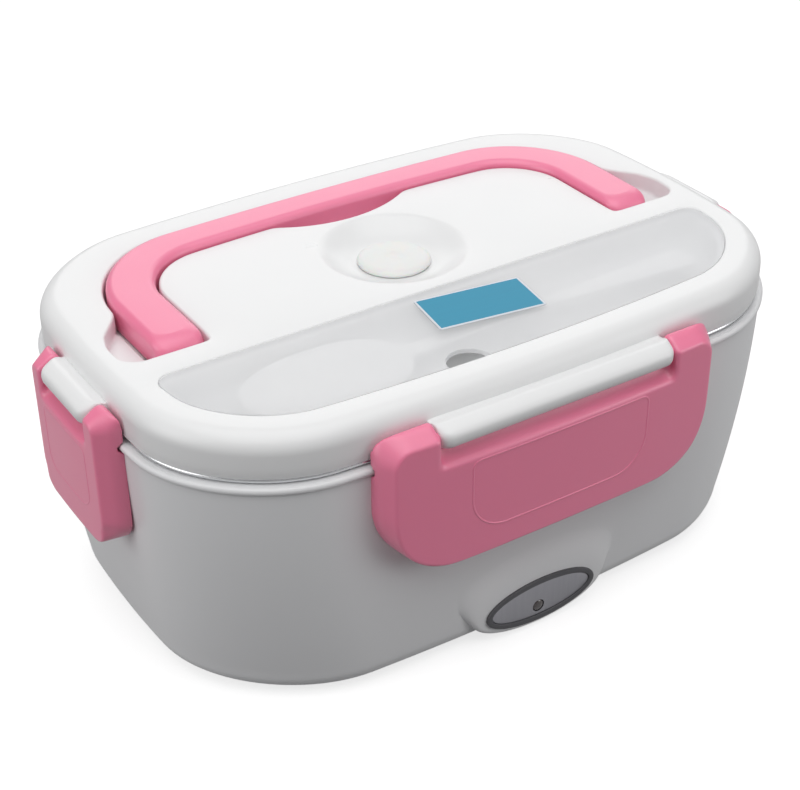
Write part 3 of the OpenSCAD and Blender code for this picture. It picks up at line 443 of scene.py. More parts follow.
tub = Shape()
outer = [tub.ring(tub_outline(Z_WALL, BASE_FILLET * (1 - sin(t))), FOOT_H + BASE_FILLET * (1 - cos(t)))
         for t in quarter_steps(10)[:-1]]
outer += [tub.ring(tub_outline(z, 0), z) for z in np.linspace(Z_WALL, Z_BEAD, 30)]
inner_fillet = BASE_FILLET - TUB_WALL
inner = [tub.ring(tub_outline(z, TUB_WALL), z) for z in np.linspace(Z_BEAD, Z_WALL, 12)]
inner += [tub.ring(tub_outline(Z_WALL, TUB_WALL + inner_fillet * (1 - sin(t))),
                   FOOT_H + TUB_WALL + inner_fillet * (1 - cos(t))) for t in reversed(quarter_steps(5)[:-1])]
tub.loft(outer + inner)
cup_mouths, cup_feet = [], []
for x, y in SCREWS:
    cup = [tub.ring(circle(r, x, y), z) for r, z in (
        (3.9, FOOT_H), (3.5, FOOT_H + 0.4), (3.5, 4.3), (1.8, 4.3), (1.8, 6.5), (5.1, 6.5), (5.4, 6.2),
        (5.4, FOOT_H + TUB_WALL))]
    tub.loft(cup)
    cup_mouths.append(cup[0])
    cup_feet.append(cup[-1])
tub.fill([outer[0]] + cup_mouths)
tub.fill([inner[-1]] + cup_feet)


def pad(turn):
    """The oval pad: a flat face with a rounded lip below, whose upper side runs out into the wall."""
    piece = Shape()
    n = 96
    rings = []

    def station(grow, y, share):
        """One ring of the pad: how much larger than its face, how far out, and how far run out above."""
        points = []
        for i in range(n):
            t = 2 * pi * i / n
            up = min(1.0, max(0.0, sin(t) + 0.2) / 0.95)
            soft = eased(up)
            reach = share * (PAD_REACH_LOW + PAD_REACH_HIGH * soft)
            x = (PAD_HALF_L + grow * 1.2 + reach * 1.2) * cos(t)
            z = PAD_Z + (PAD_HALF_H + grow + reach) * sin(t)
            blended = PAD_Y + (tub_face(x, z) - PAD_SUNK - PAD_Y) * eased(share)
            points.append((x, -(y * (1 - soft) + blended * soft), z))
        rings.append(piece.free_ring(points))

    for i, t in enumerate(quarter_steps(6)):
        station(-PAD_LIP * (1 - sin(t)), PAD_Y - PAD_LIP * (1 - cos(t)), i / 16)
    for i in range(1, 9):
        station(0.0, PAD_Y - PAD_LIP - i * 0.55, (6 + i * 1.25) / 16)
    station(-2.0, PAD_Y - PAD_DEPTH, 1.0)
    piece.loft(rings)
    for loop in (rings[0], rings[-1]):
        piece.fill([loop], flat=from_front)
    if turn:
        piece.placed(lambda p: (-p[0], -p[1], p[2]))
    return piece.done("pad")


def stadium(half_l, half_h):
    """A slot with round ends, in its own plane."""
    t = np.linspace(-pi / 2, pi / 2, 25)
    end = np.c_[half_l - half_h + half_h * np.cos(t), half_h * np.sin(t)]
    return np.concatenate([end, -end])


def block_through(flat, y0, y1, z):
    """A prism along Y, to cut a hole with."""
    piece = Shape()
    rings = [piece.free_ring([(x, y, z + h) for x, h in flat]) for y in (y0, y1)]
    piece.loft(rings)
    for loop in rings:
        piece.fill([loop], flat=from_front)
    return piece.done("cutter")


def bake(piece):
    """Puts what an object's modifiers make in place of its mesh."""
    made = bpy.data.meshes.new_from_object(piece.evaluated_get(bpy.context.evaluated_depsgraph_get()))
    piece.modifiers.clear()
    old = piece.data
    piece.data = made
    bpy.data.meshes.remove(old)


def join(piece, other, operation):
    """One solid from two, by an exact union or difference."""
    change = piece.modifiers.new("join", "BOOLEAN")
    change.solver, change.operation, change.object = "EXACT", operation, other
    bake(piece)
    bpy.data.objects.remove(other)


def plastic(name, colour, shade, rough=0.3, coat=0.0, grain=0.00002, grain_scale=1400.0, ior=1.46):
    """Moulded plastic: two near shades in slow clouds, a fine skin, and a gloss that drifts a little."""
    finish = Finish(name)
    slow = finish.noise(9.0, 3.0)
    fine = finish.noise(grain_scale, 2.0)
    flow = finish.noise(70.0, 2.0)
    return finish.principled({
        "Base Color": finish.blend(slow, colour, shade),
        "Roughness": rough - 0.05 + 0.10 * flow,
        "Coat Weight": coat * (0.9 + 0.2 * flow) if coat else 0.0,
        "Coat Roughness": 0.08, "IOR": ior,
        "Normal": finish.bump(fine * 0.6 + flow * 0.4, grain)})


white_body = plastic("white_body", (0.80, 0.80, 0.81), (0.77, 0.775, 0.785), rough=0.36, grain=0.00003)
outer_tub = tub.done("outer_tub_shell", white_body)
join(outer_tub, pad(False), "UNION")
join(outer_tub, pad(True), "UNION")
join(outer_tub, block_through(stadium(11.56, 6.66), 60.0, 80.0, PAD_Z), "DIFFERENCE")
join(outer_tub, block_through(circle(2.4, LENS_X, LENS_Z, 32), -80.0, -60.0, PAD_Z), "DIFFERENCE")
smooth(outer_tub.data, 34)
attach(outer_tub, "base")
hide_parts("outer_tub")

# Inner liner: the white well that the tray hangs in, with the rounded rim bead on which everything rests
Z_RIM, Z_FLANGE, Z_TRAY = 82.6, 82.9, 18.5
WELL_IN, WELL_OUT, Z_WELL, Z_WELL_UNDER, TRAY_FILLET = -1.2, -3.0, 16.6, 14.4, 8.0
RIM = (114.3, 75.45, 41.8)
Z_LEDGE, STRAP_SCREW_Y = 15.2, 41


def well_outline(z, d):
    """The tray's outer side at a height, drawn in by d."""
    k = (Z_FLANGE - z) / (Z_FLANGE - Z_TRAY)
    return outline(105 - 7.5 * k - d, 66.15 - 7.5 * k - d, 32.5 - 5 * k - d)


def rim_outline(d):
    """The rim bead's outer edge, drawn in by d."""
    return outline(RIM[0] - d, RIM[1] - d, RIM[2] - d)


def cup(shape, z0, d, fillet):
    """Rings of a cup from its floor up to the end of its fillet."""
    return [shape.ring(well_outline(z0 + fillet, d + fillet * (1 - sin(t))), z0 + fillet * (1 - cos(t)))
            for t in quarter_steps(8)]


def round_rect(l, w, r, n=8):
    """A rounded rectangle with straight sides."""
    t = np.linspace(0, pi / 2, n + 1)
    q = np.c_[l / 2 - r + r * np.cos(t), w / 2 - r + r * np.sin(t)]
    half = np.concatenate([q, q[::-1] * (-1, 1)])
    return np.concatenate([half, -half])


liner = Shape()
under = cup(liner, Z_WELL_UNDER, WELL_OUT, TRAY_FILLET + 1.8)
under += [liner.ring(well_outline(z, WELL_OUT), z) for z in (40, 60, 78.8)]
under += [liner.ring(well_outline(Z_BEAD, WELL_OUT - 0.9), Z_BEAD)]
bead_r, bead_mid = 1.2, Z_RIM - 1.2
bead = [liner.ring(rim_outline(1.0 * (1 - cos(t)) + 0.05), bead_mid + bead_r * sin(t))
        for t in np.linspace(-pi / 2, pi / 2, 15)]
LIP_R = 0.9
lip = []
for t in quarter_steps(4):
    z = Z_RIM - LIP_R * (1 - cos(t))
    lip.append(liner.ring(well_outline(z, WELL_IN - LIP_R * (1 - sin(t))), z))
well = [liner.ring(well_outline(z, WELL_IN), z) for z in (70, 50, 35)]
well += cup(liner, Z_WELL, WELL_IN, TRAY_FILLET)[::-1]
liner.loft(under + bead + lip + well)
ledge = [liner.ring(flat, z) for flat, z in (
    (round_rect(127.2, 77.2, 11.3), Z_WELL), (round_rect(126.6, 76.6, 11), Z_WELL - 0.3),
    (round_rect(126.6, 76.6, 11), Z_LEDGE), (round_rect(116, 66, 6), Z_LEDGE),
    (round_rect(116, 66, 6), Z_WELL_UNDER))]
liner.loft(ledge)
liner.fill([well[-1], ledge[0]])
liner.fill([under[0], ledge[-1]])
strap_posts = [(0, -STRAP_SCREW_Y), (0, STRAP_SCREW_Y)]
for places, r, z_foot, z_bore in ((SCREWS, 3.6, 6.5, 14.6), (strap_posts, 4.2, 10.2, 15.0)):
    for x, y in places:
        liner.lathe([(0, z_bore), (1.56, z_bore), (1.56, z_foot), (r - 0.2, z_foot), (r, z_foot + 0.3),
                     (r, 15.4), (0, 15.4)], x, y, 32)
inner_liner = liner.done("inner_liner_well", white_body, 34)
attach(inner_liner, "base")
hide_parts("inner_liner")

# Heater: an aluminium plate in a gasket, and under it the heater block, its strap, a cut-out and the leads


def metal(name, colour, shade, rough, brush=None):
    """Bare metal, with fine brush marks along one axis where it is brushed."""
    finish = Finish(name)
    place = finish.place()
    if brush:
        place = finish.wire("ShaderNodeMapping", None, {"Vector": place, "Scale": brush})
    marks = finish.noise(900.0, 3.0, place)
    cloud = finish.noise(22.0, 2.0)
    return finish.principled({
        "Base Color": finish.blend(marks * 0.6 + cloud * 0.4, colour, shade),
        "Metallic": 1.0,
        "Roughness": rough - 0.06 + 0.12 * marks + 0.04 * cloud,
        "Normal": finish.bump(marks, 0.00001)})


def rubber(name, colour, shade, rough=0.6, clear=0.0):
    """Silicone or rubber: a soft skin with dust-fine grain."""
    finish = Finish(name)
    fine = finish.noise(2600.0, 2.0)
    slow = finish.noise(30.0, 2.0)
    return finish.principled({
        "Base Color": finish.blend(slow, colour, shade),
        "Roughness": rough - 0.06 + 0.12 * fine, "IOR": 1.41,
        "Subsurface Weight": clear, "Subsurface Scale": 0.003,
        "Normal": finish.bump(fine, 0.00002)})


def dress(node, material):
    """A carried-over piece gets its finish in place of the plain one."""
    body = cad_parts[node]
    body.data.materials.clear()
    body.data.materials.append(material)


dress("heating_plate", metal("plate_aluminium", (0.80, 0.80, 0.82), (0.70, 0.71, 0.73), 0.34, (0.05, 1, 1)))
dress("plate_seal", rubber("gasket_grey", (0.42, 0.42, 0.43), (0.36, 0.36, 0.37), 0.62))
dress("ptc_heater", metal("heater_case", (0.72, 0.74, 0.76), (0.62, 0.64, 0.67), 0.42, (1, 0.05, 1)))
dress("heater_clamp", metal("spring_steel", (0.58, 0.58, 0.60), (0.46, 0.46, 0.49), 0.30, (0.05, 1, 1)))
dress("thermal_fuse", plastic("fuse_case", (0.66, 0.60, 0.48), (0.60, 0.54, 0.43), rough=0.45))
dress("lamp_board", plastic("board_green", (0.03, 0.22, 0.09), (0.02, 0.17, 0.07), rough=0.32, coat=0.4,
                            grain=0.00004, grain_scale=700.0))

lead_finish = Finish("lead_red")
weave = lead_finish.wire("ShaderNodeTexWave", {"wave_type": "BANDS", "bands_direction": "DIAGONAL"}, {
    "Vector": lead_finish.place(), "Scale": 420.0, "Distortion": 0.4})
lead_red = lead_finish.principled({
    "Base Color": lead_finish.blend(weave, (0.50, 0.05, 0.04), (0.62, 0.10, 0.07)),
    "Roughness": 0.5 + 0.15 * weave, "Normal": lead_finish.bump(weave, 0.00006)})


class Growth:
    """An object with a tree of geometry nodes, whose sizes are named inputs."""

    def __init__(self, name, mesh, sizes):
        self.carrier, self.sizes = added(name, mesh), sizes
        self.tree = bpy.data.node_groups.new(name + "_growth", "GeometryNodeTree")
        socket = self.tree.interface.new_socket
        socket("Geometry", in_out="INPUT", socket_type="NodeSocketGeometry")
        self.inputs = [socket(size, in_out="INPUT", socket_type="NodeSocketFloat") for size in sizes]
        socket("Geometry", in_out="OUTPUT", socket_type="NodeSocketGeometry")
        self.start = self.tree.nodes.new("NodeGroupInput").outputs

    def node(self, kind, sockets):
        """Adds a node with the values or links of its sockets, and gives its outputs."""
        made = self.tree.nodes.new(kind)
        for key, value in sockets.items():
            if isinstance(value, bpy.types.NodeSocket):
                self.tree.links.new(value, made.inputs[key])
            else:
                made.inputs[key].default_value = value
        return made.outputs

    def realised(self, copies, material):
        """The object with what its tree makes as a plain mesh, in one material."""
        real = self.node("GeometryNodeRealizeInstances", {"Geometry": copies})
        paint = self.node("GeometryNodeSetMaterial", {"Geometry": real["Geometry"], "Material": material})
        self.node("NodeGroupOutput", {"Geometry": paint["Geometry"]})
        modifier = self.carrier.modifiers.new("growth", "NODES")
        modifier.node_group = self.tree
        for socket, size in zip(self.inputs, self.sizes.values()):
            modifier[socket.identifier] = size / 1000
        bake(self.carrier)
        smooth(self.carrier.data, 50)
        return self.carrier


def along_path(name, paths, radius, material, sides=14):
    """Round leads along paths, swept by a tree of geometry nodes with the lead's radius as an input."""
    points, edges = [], []
    for path in paths:
        base, closed = len(points), path[0] == path[-1]
        path = path[:-1] if closed else path
        points += path
        count = len(path) if closed else len(path) - 1
        edges += [(base + i, base + (i + 1) % len(path)) for i in range(count)]
    mesh = bpy.data.meshes.new(name + "_path")
    mesh.from_pydata([(x / 1000, y / 1000, z / 1000) for x, y, z in points], edges, [])
    sweep = Growth(name, mesh, {"Lead radius": radius})
    curve = sweep.node("GeometryNodeMeshToCurve", {"Mesh": sweep.start["Geometry"]})
    ring = sweep.node("GeometryNodeCurvePrimitiveCircle", {
        "Resolution": sides, "Radius": sweep.start["Lead radius"]})
    tube = sweep.node("GeometryNodeCurveToMesh", {
        "Curve": curve["Curve"], "Profile Curve": ring["Curve"], "Fill Caps": True})
    return sweep.realised(tube["Mesh"], material)


def softened(path):
    """A path with its bends cut at their quarters, four times over."""
    points = [np.array(p, float) for p in path]
    for _ in range(4):
        cut = [points[0]]
        for a, b in zip(points, points[1:]):
            cut += [0.75 * a + 0.25 * b, 0.25 * a + 0.75 * b]
        points = cut + [points[-1]]
    return [tuple(p) for p in points]


lead_low, lead_cut, lead_tab, fuse_x = 4.9, 13.2, 12.7, -42.0
lead_paths = [
    [(4.3, 59.45, 10.45), (4.3, 56.45, 10.45), (4.3, 52.45, lead_low), (fuse_x, 48.45, lead_low),
     (fuse_x, 12, lead_cut), (fuse_x, 6, lead_cut)],
    [(fuse_x, -6, lead_cut), (fuse_x, -12, lead_cut), (-30, -28, lead_low), (38, -28, lead_low),
     (40, -7, lead_tab), (34, -7, lead_tab)],
    [(-4.3, 59.45, 10.45), (-4.3, 56.45, 10.45), (-1.3, 54.45, lead_low + 2.4), (42, 54.45, lead_low + 2.4),
     (42, 7, lead_tab), (34, 7, lead_tab)]]
heater_leads = along_path("heater_leads", [softened(p) for p in lead_paths], 0.9, lead_red)
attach(heater_leads, "base")
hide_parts("heater_wires")

# Fastenings: four screws in the tub's cups, two at the strap, and four rubber feet under the corners
screw_steel = metal("screw_steel", (0.60, 0.60, 0.62), (0.48, 0.48, 0.50), 0.28)
foot_rubber = rubber("foot_rubber", (0.30, 0.30, 0.31), (0.24, 0.24, 0.25), 0.7)


def cross_screw(name, head_r, head_h, shank_l, z):
    """A pan-head screw that is driven upwards: the head with its cross recess faces down."""
    edge, shank_r = 0.3 * head_h, 1.5
    slot_w, slot_l, deep = head_r * 0.16, head_r * 0.62, head_h * 0.6
    low, tip = z - head_h, z + shank_l
    body = Shape()
    body.lathe([(0, low), (head_r - edge * 1.6, low), (head_r - edge * 0.5, low + edge * 0.4),
                (head_r, low + edge * 1.4), (head_r, z), (shank_r, z), (shank_r, tip - 1),
                (shank_r * 0.5, tip), (0, tip)], n=32)
    made = body.done(name, screw_steel, 30)
    for half_x, half_y in ((slot_w, slot_l), (slot_l, slot_w)):
        cut = Shape()
        corners = np.array([(-half_x, -half_y), (half_x, -half_y), (half_x, half_y), (-half_x, half_y)])
        rings = cut.stack(lambda share: corners * share, [(1.1, low - 0.2), (0.6, low + deep)])
        cut.loft(rings)
        cut.faces += [tuple(rings[0]), tuple(rings[1])]
        join(made, cut.done("cross"), "DIFFERENCE")
    smooth(made.data, 30)
    return made


def on_grid(name, model, size_x, size_y, count_x, count_y, material):
    """Copies of a small piece at the crossings of a grid, set out by a tree of geometry nodes."""
    grid = Growth(name, bpy.data.meshes.new(name + "_seed"), {"Pitch X": size_x, "Pitch Y": size_y})
    crossings = grid.node("GeometryNodeMeshGrid", {
        "Vertices X": count_x, "Vertices Y": count_y,
        "Size X": grid.start["Pitch X"], "Size Y": grid.start["Pitch Y"]})
    source = grid.node("GeometryNodeObjectInfo", {"Object": model})
    copies = grid.node("GeometryNodeInstanceOnPoints", {
        "Points": crossings["Mesh"], "Instance": source["Geometry"]})
    made = grid.realised(copies["Instances"], material)
    bpy.data.objects.remove(model)
    return made


base_screw = cross_screw("base_screw", head_r=3.2, head_h=1.5, shank_l=10.0, z=4.3)
screws = on_grid("base_screw_set", base_screw, 2 * SCREW_X, 2 * SCREW_Y, 2, 2, screw_steel)
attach(screws, "base")
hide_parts("base_screws")

strap_screw = cross_screw("strap_screw", head_r=2.8, head_h=1.8, shank_l=5.7, z=9.2)
strap_screws = on_grid("strap_screw_set", strap_screw, 0, 2 * STRAP_SCREW_Y, 1, 2, screw_steel)
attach(strap_screws, "base")
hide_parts("clamp_screws")

FOOT_X, FOOT_Y = 82, 46
foot = Shape()
foot.lathe([(0, 0.25), (2.2, 0.25), (2.5, 0), (6.3, 0), (6.8, 0.25), (7, 0.7), (7, 1.5), (0, 1.5)], n=48)
feet = on_grid("foot_set", foot.done("foot", foot_rubber), 2 * FOOT_X, 2 * FOOT_Y, 2, 2, foot_rubber)
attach(feet, "base")
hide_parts("rubber_feet")

# Inlet: a dark flanged socket with two round pins, snapped into the tub's rear pad
dark_grey = plastic("dark_grey", (0.090, 0.090, 0.098), (0.075, 0.075, 0.082), rough=0.42, grain=0.00005,
                    grain_scale=1100.0)
inlet = Shape()
INLET_FACE, INLET_BACK, INLET_FLOOR = 75.45, 62.45, 64.45
flange_steps = [(0.0, PAD_Y), (0.0, INLET_FACE - 0.45), (0.13, INLET_FACE - 0.13), (0.45, INLET_FACE)]


def oval(half_l, half_h, n=96):
    """An ellipse, in its own plane."""
    t = 2 * pi * np.arange(n) / n
    return np.c_[half_l * np.cos(t), half_h * np.sin(t)]


def upright(shape, flat, y):
    """A ring that stands in a plane along X and Z, at the height of the badge and the inlet."""
    return shape.free_ring([(x, y, PAD_Z + h) for x, h in flat])


flange = [upright(inlet, oval(19 - d, 7.6 - d), y) for d, y in flange_steps]
mouth = [upright(inlet, stadium(8.2 + d, 3.9 + d), y) for d, y in (
    (0.5, INLET_FACE), (0.15, INLET_FACE - 0.15), (0, INLET_FACE - 0.5), (0, INLET_FLOOR))]
shell = [upright(inlet, stadium(11.5, 6.6), y) for y in (PAD_Y, INLET_BACK)]
for rings in (flange, mouth, shell):
    inlet.loft(rings)
for loops in ([flange[-1], mouth[0]], [flange[0], shell[0]], [mouth[-1]], [shell[-1]]):
    inlet.fill(loops, flat=from_front)
inlet_socket = inlet.done("inlet_socket", dark_grey, 34)
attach(inlet_socket, "base")
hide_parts("inlet_housing")
dress("inlet_pins", metal("pin_metal", (0.80, 0.79, 0.76), (0.72, 0.71, 0.68), 0.18))

# Badge: a dark oval ring and a bare silver-grey plate on the front pad, with the lens of the lamp
badge_silver = metal("badge_silver", (0.36, 0.36, 0.385), (0.30, 0.30, 0.325), 0.40, (1, 1, 0.05))
lens_dark = plastic("lens_dark", (0.05, 0.035, 0.035), (0.04, 0.03, 0.03), rough=0.12, coat=1.0)
ring_steps = [(0, 0), (0, 0.55), (0.15, 0.8), (0.45, 0.9), (1.55, 0.9), (1.85, 0.8), (2.0, 0.55), (2.0, 0)]
badge = Shape()
loops = [upright(badge, oval(20.9 - d, 8.05 - d, 128), -(PAD_Y + out)) for d, out in ring_steps]
badge.loft(loops + [loops[0]])
badge_ring = badge.done("badge_frame", dark_grey, 30)
plate = Shape()
plate_loops = [upright(plate, oval(18.8 - d, 5.95 - d, 128), -(PAD_Y + out)) for d, out in (
    (0, 0), (0, 0.3), (0.12, 0.44), (0.35, 0.5))]
hole_loops = [upright(plate, circle(2.2, LENS_X, LENS_Z), -(PAD_Y + out)) for out in (0.5, 0)]
plate.loft(plate_loops)
plate.loft(hole_loops)
plate.fill([plate_loops[-1], hole_loops[0]], flat=from_front)
plate.fill([plate_loops[0], hole_loops[-1]], flat=from_front)
badge_plate = plate.done("badge_face", badge_silver, 30)
lens = Shape()
lens.lathe([(0, 0.7), (0.8, 0.68), (1.5, 0.58), (1.9, 0.35), (2.1, 0.0), (2.1, -2.5), (2.9, -2.5),
            (2.9, -5.75), (0, -5.75)], n=40)
lens.placed(lambda p: (p[0] + LENS_X, -(PAD_Y + p[2]), PAD_Z + LENS_Z + p[1]))
lamp_lens = lens.done("lamp_window", lens_dark, 40)
for piece, node, slot_name in (
        (badge_ring, "badge_ring", "dark_grey"), (badge_plate, "badge_plate", "badge_silver"),
        (lamp_lens, "lamp_lens", "lens_dark")):
    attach(piece, "base")
    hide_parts(node)

# Tray: thin stainless steel, with a flange that hangs on the rim bead and an edge rolled over
STEEL_T, ROLL_H = 0.6, 1.4
LID_HALF_L, LID_HALF_W, LID_CORNER = 112.5, 73.65, 40


def lid_outline(d):
    """The lid's outer edge, drawn in by d."""
    return outline(LID_HALF_L - d, LID_HALF_W - d, LID_CORNER - d)


tray_finish = Finish("tray_steel")
drawn = tray_finish.wire("ShaderNodeMapping", None, {"Vector": tray_finish.place(), "Scale": (1, 1, 0.04)})
streaks = tray_finish.noise(700.0, 4.0, drawn)
dull = tray_finish.noise(16.0, 2.0)
tray_steel = tray_finish.principled({
    "Base Color": tray_finish.blend(streaks, (0.78, 0.79, 0.80), (0.66, 0.67, 0.69)),
    "Metallic": 1.0, "Roughness": 0.16 + 0.12 * streaks + 0.06 * dull,
    "Normal": tray_finish.bump(streaks, 0.000006)})
tray = Shape()
skin_out = cup(tray, Z_TRAY, 0.0, TRAY_FILLET)
skin_out += [tray.ring(well_outline(z, 0), z) for z in (50, 81.4)]
skin_out += [tray.ring(well_outline(Z_FLANGE, -1.0), Z_FLANGE), tray.ring(lid_outline(1.4), Z_FLANGE)]
roll = [tray.ring(lid_outline(1.3 - 0.65 * cos(t)), Z_FLANGE + ROLL_H / 2 + ROLL_H / 2 * sin(t))
        for t in np.linspace(-pi / 2, pi, 19)]
skin_in = [tray.ring(flat, z) for flat, z in (
    (lid_outline(2.0), Z_FLANGE + STEEL_T), (well_outline(Z_FLANGE, -0.6), Z_FLANGE + STEEL_T),
    (well_outline(Z_FLANGE, 0.1), 83.1), (well_outline(81.6, STEEL_T), 81.6),
    (well_outline(50, STEEL_T), 50))]
skin_in += cup(tray, Z_TRAY + STEEL_T, STEEL_T, TRAY_FILLET - STEEL_T)[::-1]
tray.loft(skin_out + roll + skin_in)
tray.fill([skin_out[0]])
tray.fill([skin_in[-1]])
steel_tray = tray.done("food_tray", tray_steel, 40)
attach(steel_tray, "tray")
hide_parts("steel_tray")

# Lid: one white moulding, with the handle's channel, the vent dish, the spoon's compartment and four bars
Z_SKIRT, Z_TOP, LID_EDGE = 84.6, 98.0, 6.0
PIVOT_Y, Z_PIVOT, ARM_OUT, ARM_IN, GRIP_OUT, GRIP_IN = -3.0, 93.6, 92.3, 76.7, 57.75, 44.55
CORNER_OUT, CORNER_IN, GRIP_BOW = 34.0, 20.8, 3.0
CHANNEL_GAP, Z_CHANNEL, Z_POCKET, CHANNEL_FRONT = 0.9, 90.0, 92.0, -9.8
CHANNEL_LIP, CHANNEL_FOOT, CHANNEL_DRAFT = 0.9, 1.3, 0.2
POCKET_X, POCKET_RAMP, ARM_WELL_R = 92.6, 1.2, 6.8
SCOOP_R, SCOOP_Y = 45.0, 80.55
VENT_Y, Z_DISH = 9.25, 92.8
TROUGH_L, TROUGH_W, TROUGH_R, TROUGH_REAR, TROUGH_FOOT = 101, 62.15, 28.5, -20.15, 2.5
Z_HINGE, HINGE_OUT = 88.6, 4.4


def arch_half(a, b, r, y0):
    """The right half of an arch from its foot, over its corner, to the middle of the grip."""
    t = np.linspace(0, pi / 2, 27)
    corner = np.c_[a - r + r * np.cos(t), b - r + r * np.sin(t)]
    grip = np.c_[(a - r) * (1 - np.arange(1, 25) / 24), np.full(24, b)]
    bent = np.concatenate([corner, grip])
    bent[:, 1] -= GRIP_BOW * (bent[:, 0] / a) ** 2
    foot_part = np.c_[np.full(8, a), np.linspace(y0, bent[0, 1], 8, endpoint=False)]
    return np.concatenate([foot_part, bent])


def smoothed(points, n, sigma):
    """A closed loop in n even steps, with its corners eased."""
    points = np.array(points, float)
    ends = np.concatenate([points, points[:1]])
    lengths = np.concatenate([[0], np.cumsum(np.hypot(*np.diff(ends, axis=0).T))])
    at = np.linspace(0, lengths[-1], n, endpoint=False)
    loop = np.interp(at, lengths, ends[:, 0]) + 1j * np.interp(at, lengths, ends[:, 1])
    wave = 2 * pi * np.fft.fftfreq(n, lengths[-1] / n)
    loop = np.fft.ifft(np.fft.fft(loop) * np.exp(-0.5 * (wave * sigma) ** 2))
    return np.c_[loop.real, loop.imag]


def shifted(loop, d):
    """An anticlockwise loop moved inwards along its own normals."""
    along = np.roll(loop, -1, 0) - np.roll(loop, 1, 0)
    along /= np.hypot(along[:, 0], along[:, 1])[:, None]
    return loop + d * np.c_[-along[:, 1], along[:, 0]]


def channel_loop():
    """The mouth of the handle's channel with its pockets and scoop, anticlockwise."""
    gap = CHANNEL_GAP
    outer_side = arch_half(ARM_OUT + gap, GRIP_OUT + gap, CORNER_OUT + gap, 15.2)
    inner_side = arch_half(ARM_IN - gap, GRIP_IN - gap, CORNER_IN - gap, CHANNEL_FRONT)
    scoop = [(x, SCOOP_Y - sqrt(SCOOP_R ** 2 - x * x)) for x in np.linspace(25.2, 0, 16)]
    inner_side = [p for p in inner_side if p[0] > 25.6] + scoop
    pocket = [(75.8, CHANNEL_FRONT), (99.0, CHANNEL_FRONT), (103.0, -7.0), (103.6, 2.0), (101.5, 9.0),
              (96.5, 15.0), (93.2, 19.5)]
    half = pocket[1:] + [tuple(p) for p in outer_side if p[1] > 21]
    half_in = inner_side[::-1]
    left = [(-x, y) for x, y in half[::-1][1:]] + [(-x, y) for x, y in half_in[::-1]]
    return smoothed(half + left + [tuple(p) for p in half_in[1:]], 900, 1.5)


def trough_loop(d):
    """The spoon compartment's outline, drawn in by d: the lid's outline in front, a straight rear edge."""
    rear, r = TROUGH_REAR - d, max(1.0, 5.0 - d)
    side_x = TROUGH_L - d - BOW * ((rear - r) / TROUGH_W) ** 2
    front = [p for p in outline(TROUGH_L - d, TROUGH_W - d, TROUGH_R - d) if p[1] < rear - r - 1]
    corner = [(side_x - r + r * cos(pi / 6 * i), rear - r + r * sin(pi / 6 * i)) for i in range(4)]
    points = front + corner + [(-x, y) for x, y in corner[::-1]]
    middle = int(np.argmin([abs(x) + (y > -40) * 999 for x, y in points]))
    return smoothed(points[middle:] + points[:middle], 560, 0.8)


def lip_rings(shape, loop, radius):
    """The rounded edge of a recess, from the lid's top down to its wall."""
    return [shape.ring(shifted(loop, -radius * (1 - sin(t))), Z_TOP - radius * (1 - cos(t)))
            for t in quarter_steps(5)]


lid = Shape()
SKIRT_WALL, Z_ROOM, Z_UNDER = 2.6, 89.8, 86.0
skirt = lid.stack(lid_outline, [
    (9.0, Z_UNDER), (9.0, Z_ROOM), (2.9, Z_ROOM), (SKIRT_WALL, Z_ROOM - 0.4), (SKIRT_WALL, Z_SKIRT + 0.3),
    (SKIRT_WALL - 0.3, Z_SKIRT), (0.5, Z_SKIRT), (0.15, Z_SKIRT + 0.15), (0, Z_SKIRT + 0.5), (0, 88.0),
    (0, Z_TOP - LID_EDGE)])
skirt += lid.stack(lid_outline, [
    (LID_EDGE * (1 - cos(t)), Z_TOP - LID_EDGE * (1 - sin(t))) for t in quarter_steps(10)[1:]])
lid.loft(skirt)

mouth_loop = channel_loop()
channel = lip_rings(lid, mouth_loop, CHANNEL_LIP)
channel += [lid.ring(shifted(mouth_loop, 0.12), 95.6)]


def channel_floor(x, y):
    """Height of the channel's floor: the pockets lie higher, and a round well clears each arm's end."""
    side = abs(x)
    outside = min(1.0, max(0.0, (side - POCKET_X) / POCKET_RAMP)) if y < 24 else 0.0
    z = Z_CHANNEL + (Z_POCKET - Z_CHANNEL) * eased(outside)
    reach = y - PIVOT_Y
    if 75 < side < 93.2 and abs(reach) < 6.75:
        z = min(z, Z_PIVOT - sqrt(ARM_WELL_R ** 2 - reach ** 2))
    return (x, y, z)


low_loop = shifted(mouth_loop, CHANNEL_DRAFT + CHANNEL_FOOT)
low_edge = np.array([channel_floor(x, y)[2] for x, y in low_loop])
for t in quarter_steps(5):
    loop = shifted(mouth_loop, CHANNEL_DRAFT + CHANNEL_FOOT * (1 - cos(t)))
    channel.append(lid.ring(loop, low_edge + CHANNEL_FOOT * (1 - sin(t))))
lid.loft(channel)
step_lines = [[(side * x, y) for y in np.arange(-7.9, 12.5, 0.7)] for side in (-1, 1) for x in (93.05, 93.9)]
lid.fill([channel[-1]], channel_floor, 1.0, step_lines)

